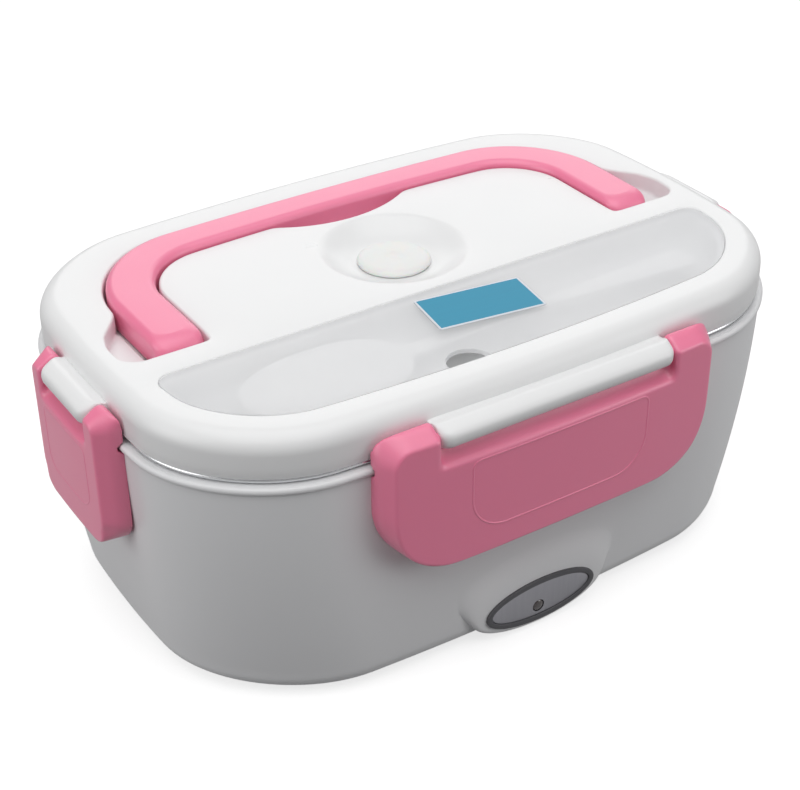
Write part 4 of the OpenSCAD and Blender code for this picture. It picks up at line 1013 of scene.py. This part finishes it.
TROUGH_LEDGE, LEDGE_W, Z_TROUGH = 96.1, 2.2, 87.5
trough = lid.stack(trough_loop, [
    (-0.6, Z_TOP), (-0.37, Z_TOP - 0.05), (-0.18, Z_TOP - 0.18), (-0.05, Z_TOP - 0.37), (0, Z_TOP - 0.6),
    (0, TROUGH_LEDGE + 0.2), (0.2, TROUGH_LEDGE), (LEDGE_W - 0.4, TROUGH_LEDGE),
    (LEDGE_W - 0.1, TROUGH_LEDGE - 0.12), (LEDGE_W, TROUGH_LEDGE - 0.4), (LEDGE_W + 0.15, 92.0)])
trough += lid.stack(trough_loop, [
    (LEDGE_W + 0.3 + TROUGH_FOOT * (1 - cos(t)), Z_TROUGH + TROUGH_FOOT * (1 - sin(t)))
    for t in quarter_steps(6)])
lid.loft(trough)
lid.fill([trough[-1]])

dish = lid.stack(lambda r: circle(r, 0, VENT_Y, 120), [
    (25.0, Z_TOP), (24.4, Z_TOP - 0.05), (23.8, Z_TOP - 0.25), (22.8, Z_TOP - 0.75), (21.5, Z_TOP - 1.6),
    (20.0, Z_TOP - 2.6), (18.3, Z_TOP - 3.6), (16.6, Z_TOP - 4.4), (15.0, Z_TOP - 4.95), (13.6, Z_DISH),
    (4.0, Z_DISH), (3.4, Z_DISH - 0.2), (3.2, Z_DISH - 0.6), (3.2, 91.4), (7.3, 91.2), (7.3, Z_UNDER)])
lid.loft(dish)
lid.fill([skirt[-1], channel[0], trough[0], dish[0]])
lid.fill([skirt[0], dish[-1]])


def hinge_bar(half, edge, turn):
    """A rounded bar along a side of the lid, with a shallow valley between it and the lid's edge."""
    bar = Shape()
    section = [(-1.6, 3.25), (0.1, 3.15), (1.0, 3.25), (1.9, 3.5), (2.9, 3.8), (3.9, 3.95), (4.9, 3.8),
               (6.0, 3.25), (7.1, 2.65), (7.8, 2.15), (8.25, 1.5), (8.48, 0.7), (8.5, -0.3), (8.3, -1.4),
               (7.8, -2.3), (6.9, -3.1), (5.6, -3.6), (3.8, -3.65), (2.2, -3.1), (-1.6, -2.3)]
    reach_out, cap_r = 8.4, 3.8
    cap = [(cap_r * (1 - cos(t)), sin(t)) for t in quarter_steps(10)]
    stations = [(-half + x, full) for x, full in cap]
    stations += [(x, 1.0) for x in np.linspace(-half + cap_r + 4, half - cap_r - 4, 12)]
    stations += [(half - x, full) for x, full in reversed(cap)]
    rings = []
    for x, full in stations:
        reach = reach_out - cap_r * (1 - full)
        low = 0.86 + 0.14 * full
        rings.append(bar.free_ring([
            (x, -edge - (v if v < 0 else v * reach / reach_out), Z_HINGE + h * low) for v, h in section]))
    bar.loft(rings)
    bar.faces += [tuple(rings[0]), tuple(rings[-1])]
    bar.placed(turned(turn))
    return bar


white_lid = plastic("white_lid", (0.84, 0.84, 0.84), (0.82, 0.825, 0.83), rough=0.30, grain=0.000012,
                    grain_scale=900.0, ior=1.42)
lid_piece = lid.done("lid_shell", white_lid, 36)
BAR_HALF_WIDE, BAR_HALF_END = 42.1, 15.2
join_work = bmesh.new()
join_work.from_mesh(lid_piece.data)
for half, edge, turn in ((BAR_HALF_WIDE, LID_HALF_W, 0), (BAR_HALF_WIDE, LID_HALF_W, pi),
                         (BAR_HALF_END, LID_HALF_L, pi / 2), (BAR_HALF_END, LID_HALF_L, -pi / 2)):
    bar = hinge_bar(half, edge, turn).done("bar", white_lid, 50)
    join_work.from_mesh(bar.data)
    bpy.data.objects.remove(bar)
join_work.to_mesh(lid_piece.data)
join_work.free()
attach(lid_piece, "lid")
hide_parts("lid_top")

# Lid's inner plate and seal: a second moulding closes the lid from below, with a silicone ring in its groove
plate_in = Shape()
inner_rings = plate_in.stack(lid_outline, [
    (7.35, 83.8), (6.95, 84.2), (6.95, 87.75), (2.8, 87.75), (2.8, 89.0), (3.1, 89.35), (8.55, 89.35),
    (8.55, 85.6), (8.95, 85.2)])
plate_in.loft(inner_rings)
sleeve = plate_in.stack(lambda r: circle(r, 0, VENT_Y), [
    (7.0, 85.2), (7.0, 90.5), (6.7, 90.8), (5.5, 90.8), (5.2, 90.5), (5.2, 84.2), (5.6, 83.8)])
plate_in.loft(sleeve)
plate_in.fill([inner_rings[-1], sleeve[0]])
plate_in.fill([inner_rings[0], sleeve[-1]])
lid_plate = plate_in.done("lid_plate", white_lid, 34)
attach(lid_plate, "lid")
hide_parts("lid_inner")

silicone_clear = rubber("silicone_clear", (0.80, 0.78, 0.72), (0.76, 0.74, 0.68), 0.42, 0.25)
gasket = Shape()
gasket_rings = gasket.stack(lid_outline, [
    (2.9, 87.6), (2.9, 85.2), (3.1, 84.75), (3.5, 84.6), (3.9, 84.75), (4.2, 85.2), (4.85, 85.45),
    (5.5, 85.2), (5.8, 84.75), (6.2, 84.6), (6.6, 84.75), (6.8, 85.2), (6.8, 87.6)])
gasket.loft(gasket_rings + [gasket_rings[0]])
seal_piece = gasket.done("lid_seal", silicone_clear, 60)
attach(seal_piece, "lid")
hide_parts("seal_ring")

# Vent plug: a soft cream silicone button in the dish, held by the foot of its stem
vent_cream = rubber("vent_cream", (0.81, 0.81, 0.795), (0.79, 0.79, 0.775), 0.42, 0.3)
button = Shape()
button.lathe([
    (0, 84.4), (3.6, 84.4), (4.05, 84.6), (4.2, 85.0), (4.2, 85.6), (2.9, 86.8), (2.9, 92.9), (11.3, 92.9),
    (11.75, 93.0), (12.0, 93.3), (12.0, 93.6), (11.85, 93.95), (11.5, 94.3), (10.9, 94.6), (10.0, 94.82),
    (8.6, 94.95), (6.0, 95.0), (3.4, 95.0), (2.8, 94.9), (2.2, 94.75), (1.2, 94.65), (0, 94.62)],
    0, VENT_Y, 96)
vent_button = button.done("vent_button", vent_cream, 50)
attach(vent_button, "vent")
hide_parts("vent_plug")

# Handle: a pink moulded U that lies folded in its channel, with a stub inside each arm
HANDLE_TOP, HANDLE_LOW, HANDLE_EDGE, END_CORNER, STUB_X = 100.0, 90.4, 2.6, 4.0, 72.0


def handle_loop(d, z):
    """The U at one height: outer side, left foot, inner side and right foot."""
    lift = min(6.35, abs(z - Z_PIVOT))
    y0 = PIVOT_Y - sqrt(6.4 ** 2 - lift ** 2) + min(d, 1.0) * 0.15
    outer_half = arch_half(ARM_OUT - d, GRIP_OUT - d, CORNER_OUT - d, y0 + END_CORNER)
    inner_half = arch_half(ARM_IN + d, GRIP_IN + d, CORNER_IN + d, y0 + END_CORNER)
    r = min(END_CORNER, (ARM_OUT - ARM_IN) / 2 - d - 0.5)
    corner = [(r * cos(t), y0 + END_CORNER - END_CORNER * sin(t)) for t in quarter_steps(6)]
    foot_in = [(ARM_IN + d + r - x, y) for x, y in corner[1:-1]]
    foot_out = [(ARM_OUT - d - r + x, y) for x, y in corner[:0:-1]]
    right_side = [tuple(p) for p in inner_half[::-1]] + foot_in + foot_out
    right_side += [tuple(p) for p in outer_half]
    left_side = [(-x, y) for x, y in right_side[::-1][1:-1]]
    return np.array(right_side + left_side)


grip_shape = Shape()
levels = [(0.9 * (1 - sin(t)), HANDLE_LOW + 0.9 * (1 - cos(t))) for t in quarter_steps(4)]
levels += [(0.0, z) for z in (92.4, 93.6, 95.0, 96.4)]
levels += [(HANDLE_EDGE * (1 - cos(t)), HANDLE_TOP - HANDLE_EDGE * (1 - sin(t))) for t in quarter_steps(12)]
grip_rings = [grip_shape.ring(handle_loop(d, z), z) for d, z in levels]
grip_shape.loft(grip_rings)
grip_shape.fill([grip_rings[0]])
grip_shape.fill([grip_rings[-1]])
handle_stub = Shape()
handle_stub.lathe([(0, 0), (1.9, 0), (2.2, 0.3), (2.2, 6.7), (0, 6.7)], n=32)
for side in (-1, 1):
    grip_shape.add(handle_stub, lambda p: (side * (STUB_X + p[2]), PIVOT_Y + p[1], Z_PIVOT + p[0]))


def pink_plastic():
    """The pink of the handle and clips: even colour, satin skin with a trace of flow and fine scuffs."""
    finish = Finish("pink")
    slow = finish.noise(11.0, 3.0)
    fine = finish.noise(1500.0, 2.0)
    flow = finish.noise(60.0, 2.0)
    scuff = finish.noise(160.0, 6.0, finish.wire("ShaderNodeMapping", None, {
        "Vector": finish.place(), "Scale": (1.0, 0.25, 1.0)}))
    return finish.principled({
        "Base Color": finish.blend(slow, (0.90, 0.215, 0.365), (0.87, 0.195, 0.34)),
        "Roughness": 0.36 + 0.08 * flow + 0.05 * scuff,
        "IOR": 1.5, "Coat Weight": 0.7, "Coat Roughness": 0.38, "Coat IOR": 1.6,
        "Subsurface Weight": 0.04, "Subsurface Scale": 0.002,
        "Normal": finish.bump(fine * 0.7 + flow * 0.3, 0.00003)})


pink = pink_plastic()
handle_piece = grip_shape.done("carry_handle", pink, 34)
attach(handle_piece, "handle")
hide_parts("handle")

# Clips: four pink latches, each with two ears, a hollow panel that hangs over the rim and a rib behind it


def soft_max(a, b, k):
    """The larger of two distances, with the edge between them rounded."""
    h = np.maximum(k - np.abs(a - b), 0) / k
    return np.maximum(a, b) + h * h * k / 4


def soft_min(a, b, k):
    """The smaller of two distances, with the edge between them rounded."""
    return -soft_max(-a, -b, k)


def field_skin(field, low, high, cell):
    """A closed skin of quads where a field of distances is nought, with each point drawn onto it."""
    axes = [np.arange(a, b + cell, cell) for a, b in zip(low, high)]
    grid = np.meshgrid(*axes, indexing="ij")
    value = field(*grid)
    solid = value < 0
    shape = np.array(value.shape)
    total, count = np.zeros((*shape, 3)), np.zeros(shape)
    faces = []
    number = np.arange(solid.size).reshape(solid.shape)
    for axis in range(3):
        first = [slice(None)] * 3
        second = [slice(None)] * 3
        first[axis], second[axis] = slice(0, -1), slice(1, None)
        a, b = value[tuple(first)], value[tuple(second)]
        cross = np.argwhere((a < 0) != (b < 0))
        va, vb = a[tuple(cross.T)], b[tuple(cross.T)]
        spot = cross.astype(float)
        spot[:, axis] += va / (va - vb)
        o1, o2 = [k for k in range(3) if k != axis]
        corners = []
        for s1, s2 in ((0, 0), (1, 0), (1, 1), (0, 1)):
            cell_at = cross.copy()
            cell_at[:, o1] -= s1
            cell_at[:, o2] -= s2
            np.add.at(total, tuple(cell_at.T), spot)
            np.add.at(count, tuple(cell_at.T), 1)
            corners.append(number[tuple(cell_at.T)])
        quad = np.stack(corners, 1)
        flip = (va < 0) == (axis == 1)
        quad[flip] = quad[flip][:, ::-1]
        faces.append(quad)
    used = count > 0
    place = total[used] / count[used][:, None] * cell + np.array(low)
    rename = np.full(solid.size, -1)
    rename[number[used]] = np.arange(used.sum())
    h = cell * 0.1
    for _ in range(3):
        x, y, z = place.T
        slope = np.stack([
            field(x + h, y, z) - field(x - h, y, z), field(x, y + h, z) - field(x, y - h, z),
            field(x, y, z + h) - field(x, y, z - h)], 1) / (2 * h)
        steep = np.maximum(np.sum(slope ** 2, 1), 0.15)
        move = -(field(x, y, z) / steep)[:, None] * slope
        length = np.maximum(np.sqrt(np.sum(move ** 2, 1)), 1e-9)
        place += move * np.minimum(1, 0.6 * cell / length)[:, None]
    skin = Shape()
    skin.points = [tuple(p) for p in place]
    skin.faces = [tuple(f) for f in rename[np.concatenate(faces)]]
    return skin


FACE_OUT = 8.5


def clip_field(w, ear, r, drop, edge, reach, top_r, fade, roll_r, tilt):
    """Distances for a clip on the front: X along it, Y outwards negative, Z up.

    The sizes are its half width, an ear's width, its low corner, its drop below the hinge, the lid's edge
    behind it, the half length of the lid's bow, its top corner, the bevel's fade, an ear's radius and its
    facet's slope in degrees.
    """
    bar = w - ear

    def corner(across, along, radius):
        """Distance to a quadrant with a rounded corner."""
        outside = np.hypot(np.maximum(across, 0), np.maximum(along, 0))
        return outside + np.minimum(np.maximum(across, along), 0) - radius

    def field(x, y, z):
        h = z - Z_HINGE
        v = -y - edge + BOW * (x / reach) ** 2
        side = np.abs(x)
        # The clip seen from the front, below and above
        low = corner(side - (w - r), -h - (drop - r), r)
        high = corner(side - (w - top_r), h - (4.4 - top_r), top_r)
        front = np.maximum(low, high)
        # A bevel runs from the crease of the face to the side, and dies out towards the bottom
        ease = np.clip((h + drop - 1.0) / fade, 0, 1)
        inset, deep = 0.4 + 3.0 * ease * ease * (3 - 2 * ease), 5.0
        wide = np.maximum(low, corner(side - (w - top_r - 3.4), h - (4.2 - top_r - 3.4), top_r + 3.4))
        bevel = ((wide + inset) * deep + (v - FACE_OUT) * inset) / np.sqrt(deep * deep + inset * inset)
        body = soft_max(soft_max(v - FACE_OUT, bevel, 0.5), front, 1.3)
        # The ears are rolled about the hinge and cut by a sloping facet
        roll = np.hypot(y + edge + HINGE_OUT, h) - roll_r
        crown = soft_min(h + 0.5, roll, 0.6)
        facet = (v - 8.4) * sin(radians(tilt)) + (h - 1.3) * cos(radians(tilt))
        body = soft_max(body, soft_max(crown, facet, 1.8), 0.6)
        # The back hugs the wall, and clears the rim bead
        nook = 0.45 + 1.85 * np.clip(1.6 - np.abs(z - 81.4) / 1.3, 0, 1)
        body = soft_max(body, nook - v, 0.5)
        # The gap round the bar, and the groove that falls in to it
        gap = np.hypot(y + edge + HINGE_OUT, h) - 4.5
        groove = np.hypot(v - 10.2, h + 1.7) - 6.8
        notch = soft_max(side - bar, soft_min(soft_min(gap, groove, 0.8), -h - 3.0, 0.8), 2.6)
        body = soft_max(body, -notch, 1.5)
        # The hollow behind the panel, and the catch rib in it
        wall = 2.5
        hollow = np.maximum(np.maximum(low + 3.2, v - (FACE_OUT - wall - 0.4)), z - 79.4)
        body = soft_max(body, -hollow, 1.0)
        rib = soft_max(soft_max(side - (w - wall - r * 0.3), np.abs(z - 78.1) - 1.3, 0.8),
                       np.maximum(v - 8, 2.3 - v), 0.8)
        return soft_min(body, rib, 0.6)

    return field


def clip_piece(name, sizes, turn, cell):
    """One clip with its hinge stubs, turned to its side of the box."""
    w, ear, drop, edge = sizes[0], sizes[1], sizes[3], sizes[4]
    skin = field_skin(clip_field(*sizes), (-w - 1.3, -edge - 10.1, Z_HINGE - drop - 1.3),
                      (w + 1.3, -edge + 2.2, 94.6), cell)
    stub = Shape()
    stub.lathe([(0, 0), (1.5, 0), (1.7, 0.2), (1.7, 4.5), (0, 4.5)], n=24)
    stub_in = w - ear - 3.5
    for side in (-1, 1):
        skin.add(stub, lambda p: (side * (stub_in + p[2]), -edge - HINGE_OUT + p[1], Z_HINGE + p[0]))
    skin.placed(turned(turn))
    return skin.done(name, pink, 50)


WIDE_CLIP = (60.6, 18.2, 25, 44.3, LID_HALF_W, LID_HALF_L, 5.6, 24.0, 5.0, 44)
END_CLIP = (24.7, 9.2, 11, 42.9, LID_HALF_L, LID_HALF_W, 3.0, 7.0, 4.4, 37)
clips = {"front_clip": (WIDE_CLIP, 0.0), "rear_clip": (WIDE_CLIP, pi), "left_clip": (END_CLIP, -pi / 2),
         "right_clip": (END_CLIP, pi / 2)}


def face_line(sizes, turn):
    """The closed path of the fine raised line on a clip's face."""
    wide = sizes is WIDE_CLIP
    half, top, low, r_top, r_low = (32.0, 78.6, 53.5, 2.5, 12.0) if wide else (14.5, 78.2, 56.5, 2.0, 6.0)
    edge, reach = sizes[4], sizes[5]
    flat = [(half - r_low + r_low * cos(t), low + r_low - r_low * sin(t)) for t in quarter_steps(12)[::-1]]
    flat += [(half, z) for z in np.linspace(low + r_low + 2, top - r_top - 2, 6)]
    flat += [(half - r_top + r_top * cos(t), top - r_top + r_top * sin(t)) for t in quarter_steps(6)]
    flat += [(x, top) for x in np.linspace(half - r_top - 2, 0, 14)[:-1]]
    flat += [(-x, z) for x, z in flat[::-1]]
    flat += [(x, low) for x in np.linspace(-half + r_low + 2, half - r_low - 2, 20)]
    sunk = 0.32 if wide else 0.38
    path = [turned(turn)((x, -(edge + FACE_OUT - sunk - BOW * (x / reach) ** 2), z)) for x, z in flat]
    return path + path[:1]


for node, (sizes, turn) in clips.items():
    latch = clip_piece(node + "_latch", sizes, turn, 0.6 if sizes is WIDE_CLIP else 0.5)
    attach(latch, node)
    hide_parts(node)
    line = along_path(node + "_face_line", [face_line(sizes, turn)], 0.5, pink, 8)
    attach(line, node)

# Spoon: a thin white moulding with a shallow bowl and a handle that widens to its end
SPOON_LEN, BOWL_L, SPOON_W, SPOON_D, SPOON_T = 165.0, 54.0, 31.0, 4.6, 1.4
SPOON_Y, SPOON_X0, Z_SPOON = -41.15, -82.5, 87.5 + 0.3 + 4.6


def spoon_half_width(s):
    """Half the spoon's width at a distance from the tip of its bowl."""
    if s < BOWL_L:
        return max(0.6, SPOON_W / 2 * sqrt(max(0, 1 - abs(2 * s / BOWL_L - 1) ** 2.4)) + 1.5 * s / BOWL_L)
    t = (s - BOWL_L) / (SPOON_LEN - BOWL_L)
    end = max(0.0, (s - SPOON_LEN + 6) / 6)
    return 1.5 + 4.5 * t * t + 2.2 * exp(-(s - BOWL_L) / 12) - 5.4 * end ** 4


def spoon_ring(s):
    """The spoon's cross-section there: its underside from side to side, and its top back again."""
    w, n = spoon_half_width(s), 16
    dip = SPOON_D * max(0, sin(pi * s / BOWL_L)) ** 0.7 if s < BOWL_L else 0
    rise = 0 if s < BOWL_L else 0.8 * sin(pi * (s - BOWL_L) / (SPOON_LEN - BOWL_L))
    line = [2 * i / n - 1 for i in range(n + 1)]
    low = [(SPOON_X0 + s, SPOON_Y + q * w, Z_SPOON + rise - dip * (1 - q * q)) for q in line]
    crown = 0.25 if s > BOWL_L else 0.0
    top = [(x, y, z + SPOON_T - crown * q * q) for (x, y, z), q in zip(low, line)][::-1]
    return low + top


spoon_shape = Shape()
marks = [BOWL_L * (1 - cos(pi * i / 36)) / 2 for i in range(36)]
marks += [BOWL_L + (SPOON_LEN - BOWL_L) * sin(pi / 2 * i / 44) for i in range(45)]
spoon_rings = [spoon_shape.free_ring(spoon_ring(s)) for s in marks]
spoon_shape.loft(spoon_rings)
for loop in (spoon_rings[0], spoon_rings[-1]):
    half_n = len(loop) // 2
    spoon_shape.faces += [(loop[i], loop[i + 1], loop[-2 - i], loop[-1 - i]) for i in range(half_n - 1)]
spoon_white = plastic("spoon_white", (0.86, 0.86, 0.85), (0.83, 0.83, 0.83), rough=0.22, coat=0.3,
                      grain=0.00001)
spoon_piece = spoon_shape.done("table_spoon", spoon_white, 55)
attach(spoon_piece, "spoon")
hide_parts("spoon")

# Compartment cover: a frosted clear plate, flush in the stepped edge, with a round thumb notch in front
NOTCH_X, NOTCH_Y, NOTCH_R = -20.0, -62.15, 7.0
haze = Finish("cover_clear")
frost = haze.noise(2400.0, 2.0)
streak = haze.noise(26.0, 2.0)
cover_clear = haze.principled({
    "Base Color": haze.blend(streak, (0.93, 0.935, 0.955), (0.95, 0.953, 0.96)),
    "Roughness": 0.34 + 0.08 * frost, "IOR": 1.45,
    "Alpha": 0.42 + 0.07 * streak,
    "Normal": haze.bump(frost, 0.00001)})


def cover_loop():
    """The cover's edge: the compartment's outline with the notch cut out of it."""
    loop = trough_loop(0.12)
    away = np.hypot(loop[:, 0] - NOTCH_X, loop[:, 1] - NOTCH_Y) > NOTCH_R
    start = int(np.argmax(away & ~np.roll(away, -1)))
    loop, away = np.roll(loop, -start - 1, 0), np.roll(away, -start - 1)
    arc = [(NOTCH_X + NOTCH_R * cos(t), NOTCH_Y + NOTCH_R * sin(t)) for t in np.linspace(pi - 0.08, 0.08, 24)]
    return np.concatenate([arc, loop[away]])


cover = Shape()
cover_edge = cover_loop()
cover_rings = cover.stack(lambda d: shifted(cover_edge, d), [
    (0.2, 96.4), (0.0, 96.6), (0.0, 97.7), (0.1, 97.92), (0.3, 98.0)])
cover.loft(cover_rings)
cover.fill([cover_rings[0]])
cover.fill([cover_rings[-1]])
cover_piece = cover.done("compartment_cover", cover_clear, 30)
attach(cover_piece, "cover")
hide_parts("spoon_cover")

# Label: a thin foil sticker on the cover, blue with a narrow silver margin and no print
LABEL_X, LABEL_Y, LABEL_L, LABEL_W, LABEL_TURN = 1.8, -36.15, 36.0, 19.0, radians(-8)
LABEL_MARGIN = 0.7
sticker = Finish("label_blue")
local = sticker.wire("ShaderNodeMapping", {"vector_type": "TEXTURE"}, {
    "Vector": sticker.place(), "Location": (LABEL_X / 1000, LABEL_Y / 1000, 0),
    "Rotation": (0, 0, LABEL_TURN)})
split = sticker.node("ShaderNodeSeparateXYZ", None, {0: local})
along_l, along_w = abs(Wire(sticker, split.outputs[0])), abs(Wire(sticker, split.outputs[1]))
edge_mask = along_l.sum("MAXIMUM", along_l > (LABEL_L / 2 - LABEL_MARGIN) / 1000,
                        along_w > (LABEL_W / 2 - LABEL_MARGIN) / 1000)
brushed = sticker.wire("ShaderNodeMapping", None, {"Vector": local, "Scale": (0.06, 1, 1)})
foil = sticker.noise(500.0, 3.0, brushed)
blue = sticker.blend(foil, (0.025, 0.26, 0.41), (0.035, 0.29, 0.44))
label_blue = sticker.principled({
    "Base Color": sticker.blend(edge_mask, blue, (0.62, 0.64, 0.68)),
    "Metallic": edge_mask * 0.6, "Roughness": 0.5 + 0.10 * foil, "IOR": 1.4,
    "Normal": sticker.bump(foil, 0.000006)})
label_shape = Shape()
turn_cos, turn_sin = cos(LABEL_TURN), sin(LABEL_TURN)
label_rings = []
for d, z in ((0.0, 98.0), (0.0, 98.14), (0.08, 98.2)):
    flat = round_rect(LABEL_L - 2 * d, LABEL_W - 2 * d, 0.8, 6)
    label_rings.append(label_shape.ring([
        (LABEL_X + x * turn_cos - y * turn_sin, LABEL_Y + x * turn_sin + y * turn_cos) for x, y in flat], z))
label_shape.loft(label_rings)
label_shape.fill([label_rings[0]])
label_shape.fill([label_rings[-1]])
label_piece = label_shape.done("cover_sticker", label_blue, 30)
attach(label_piece, "cover")
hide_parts("cover_label")
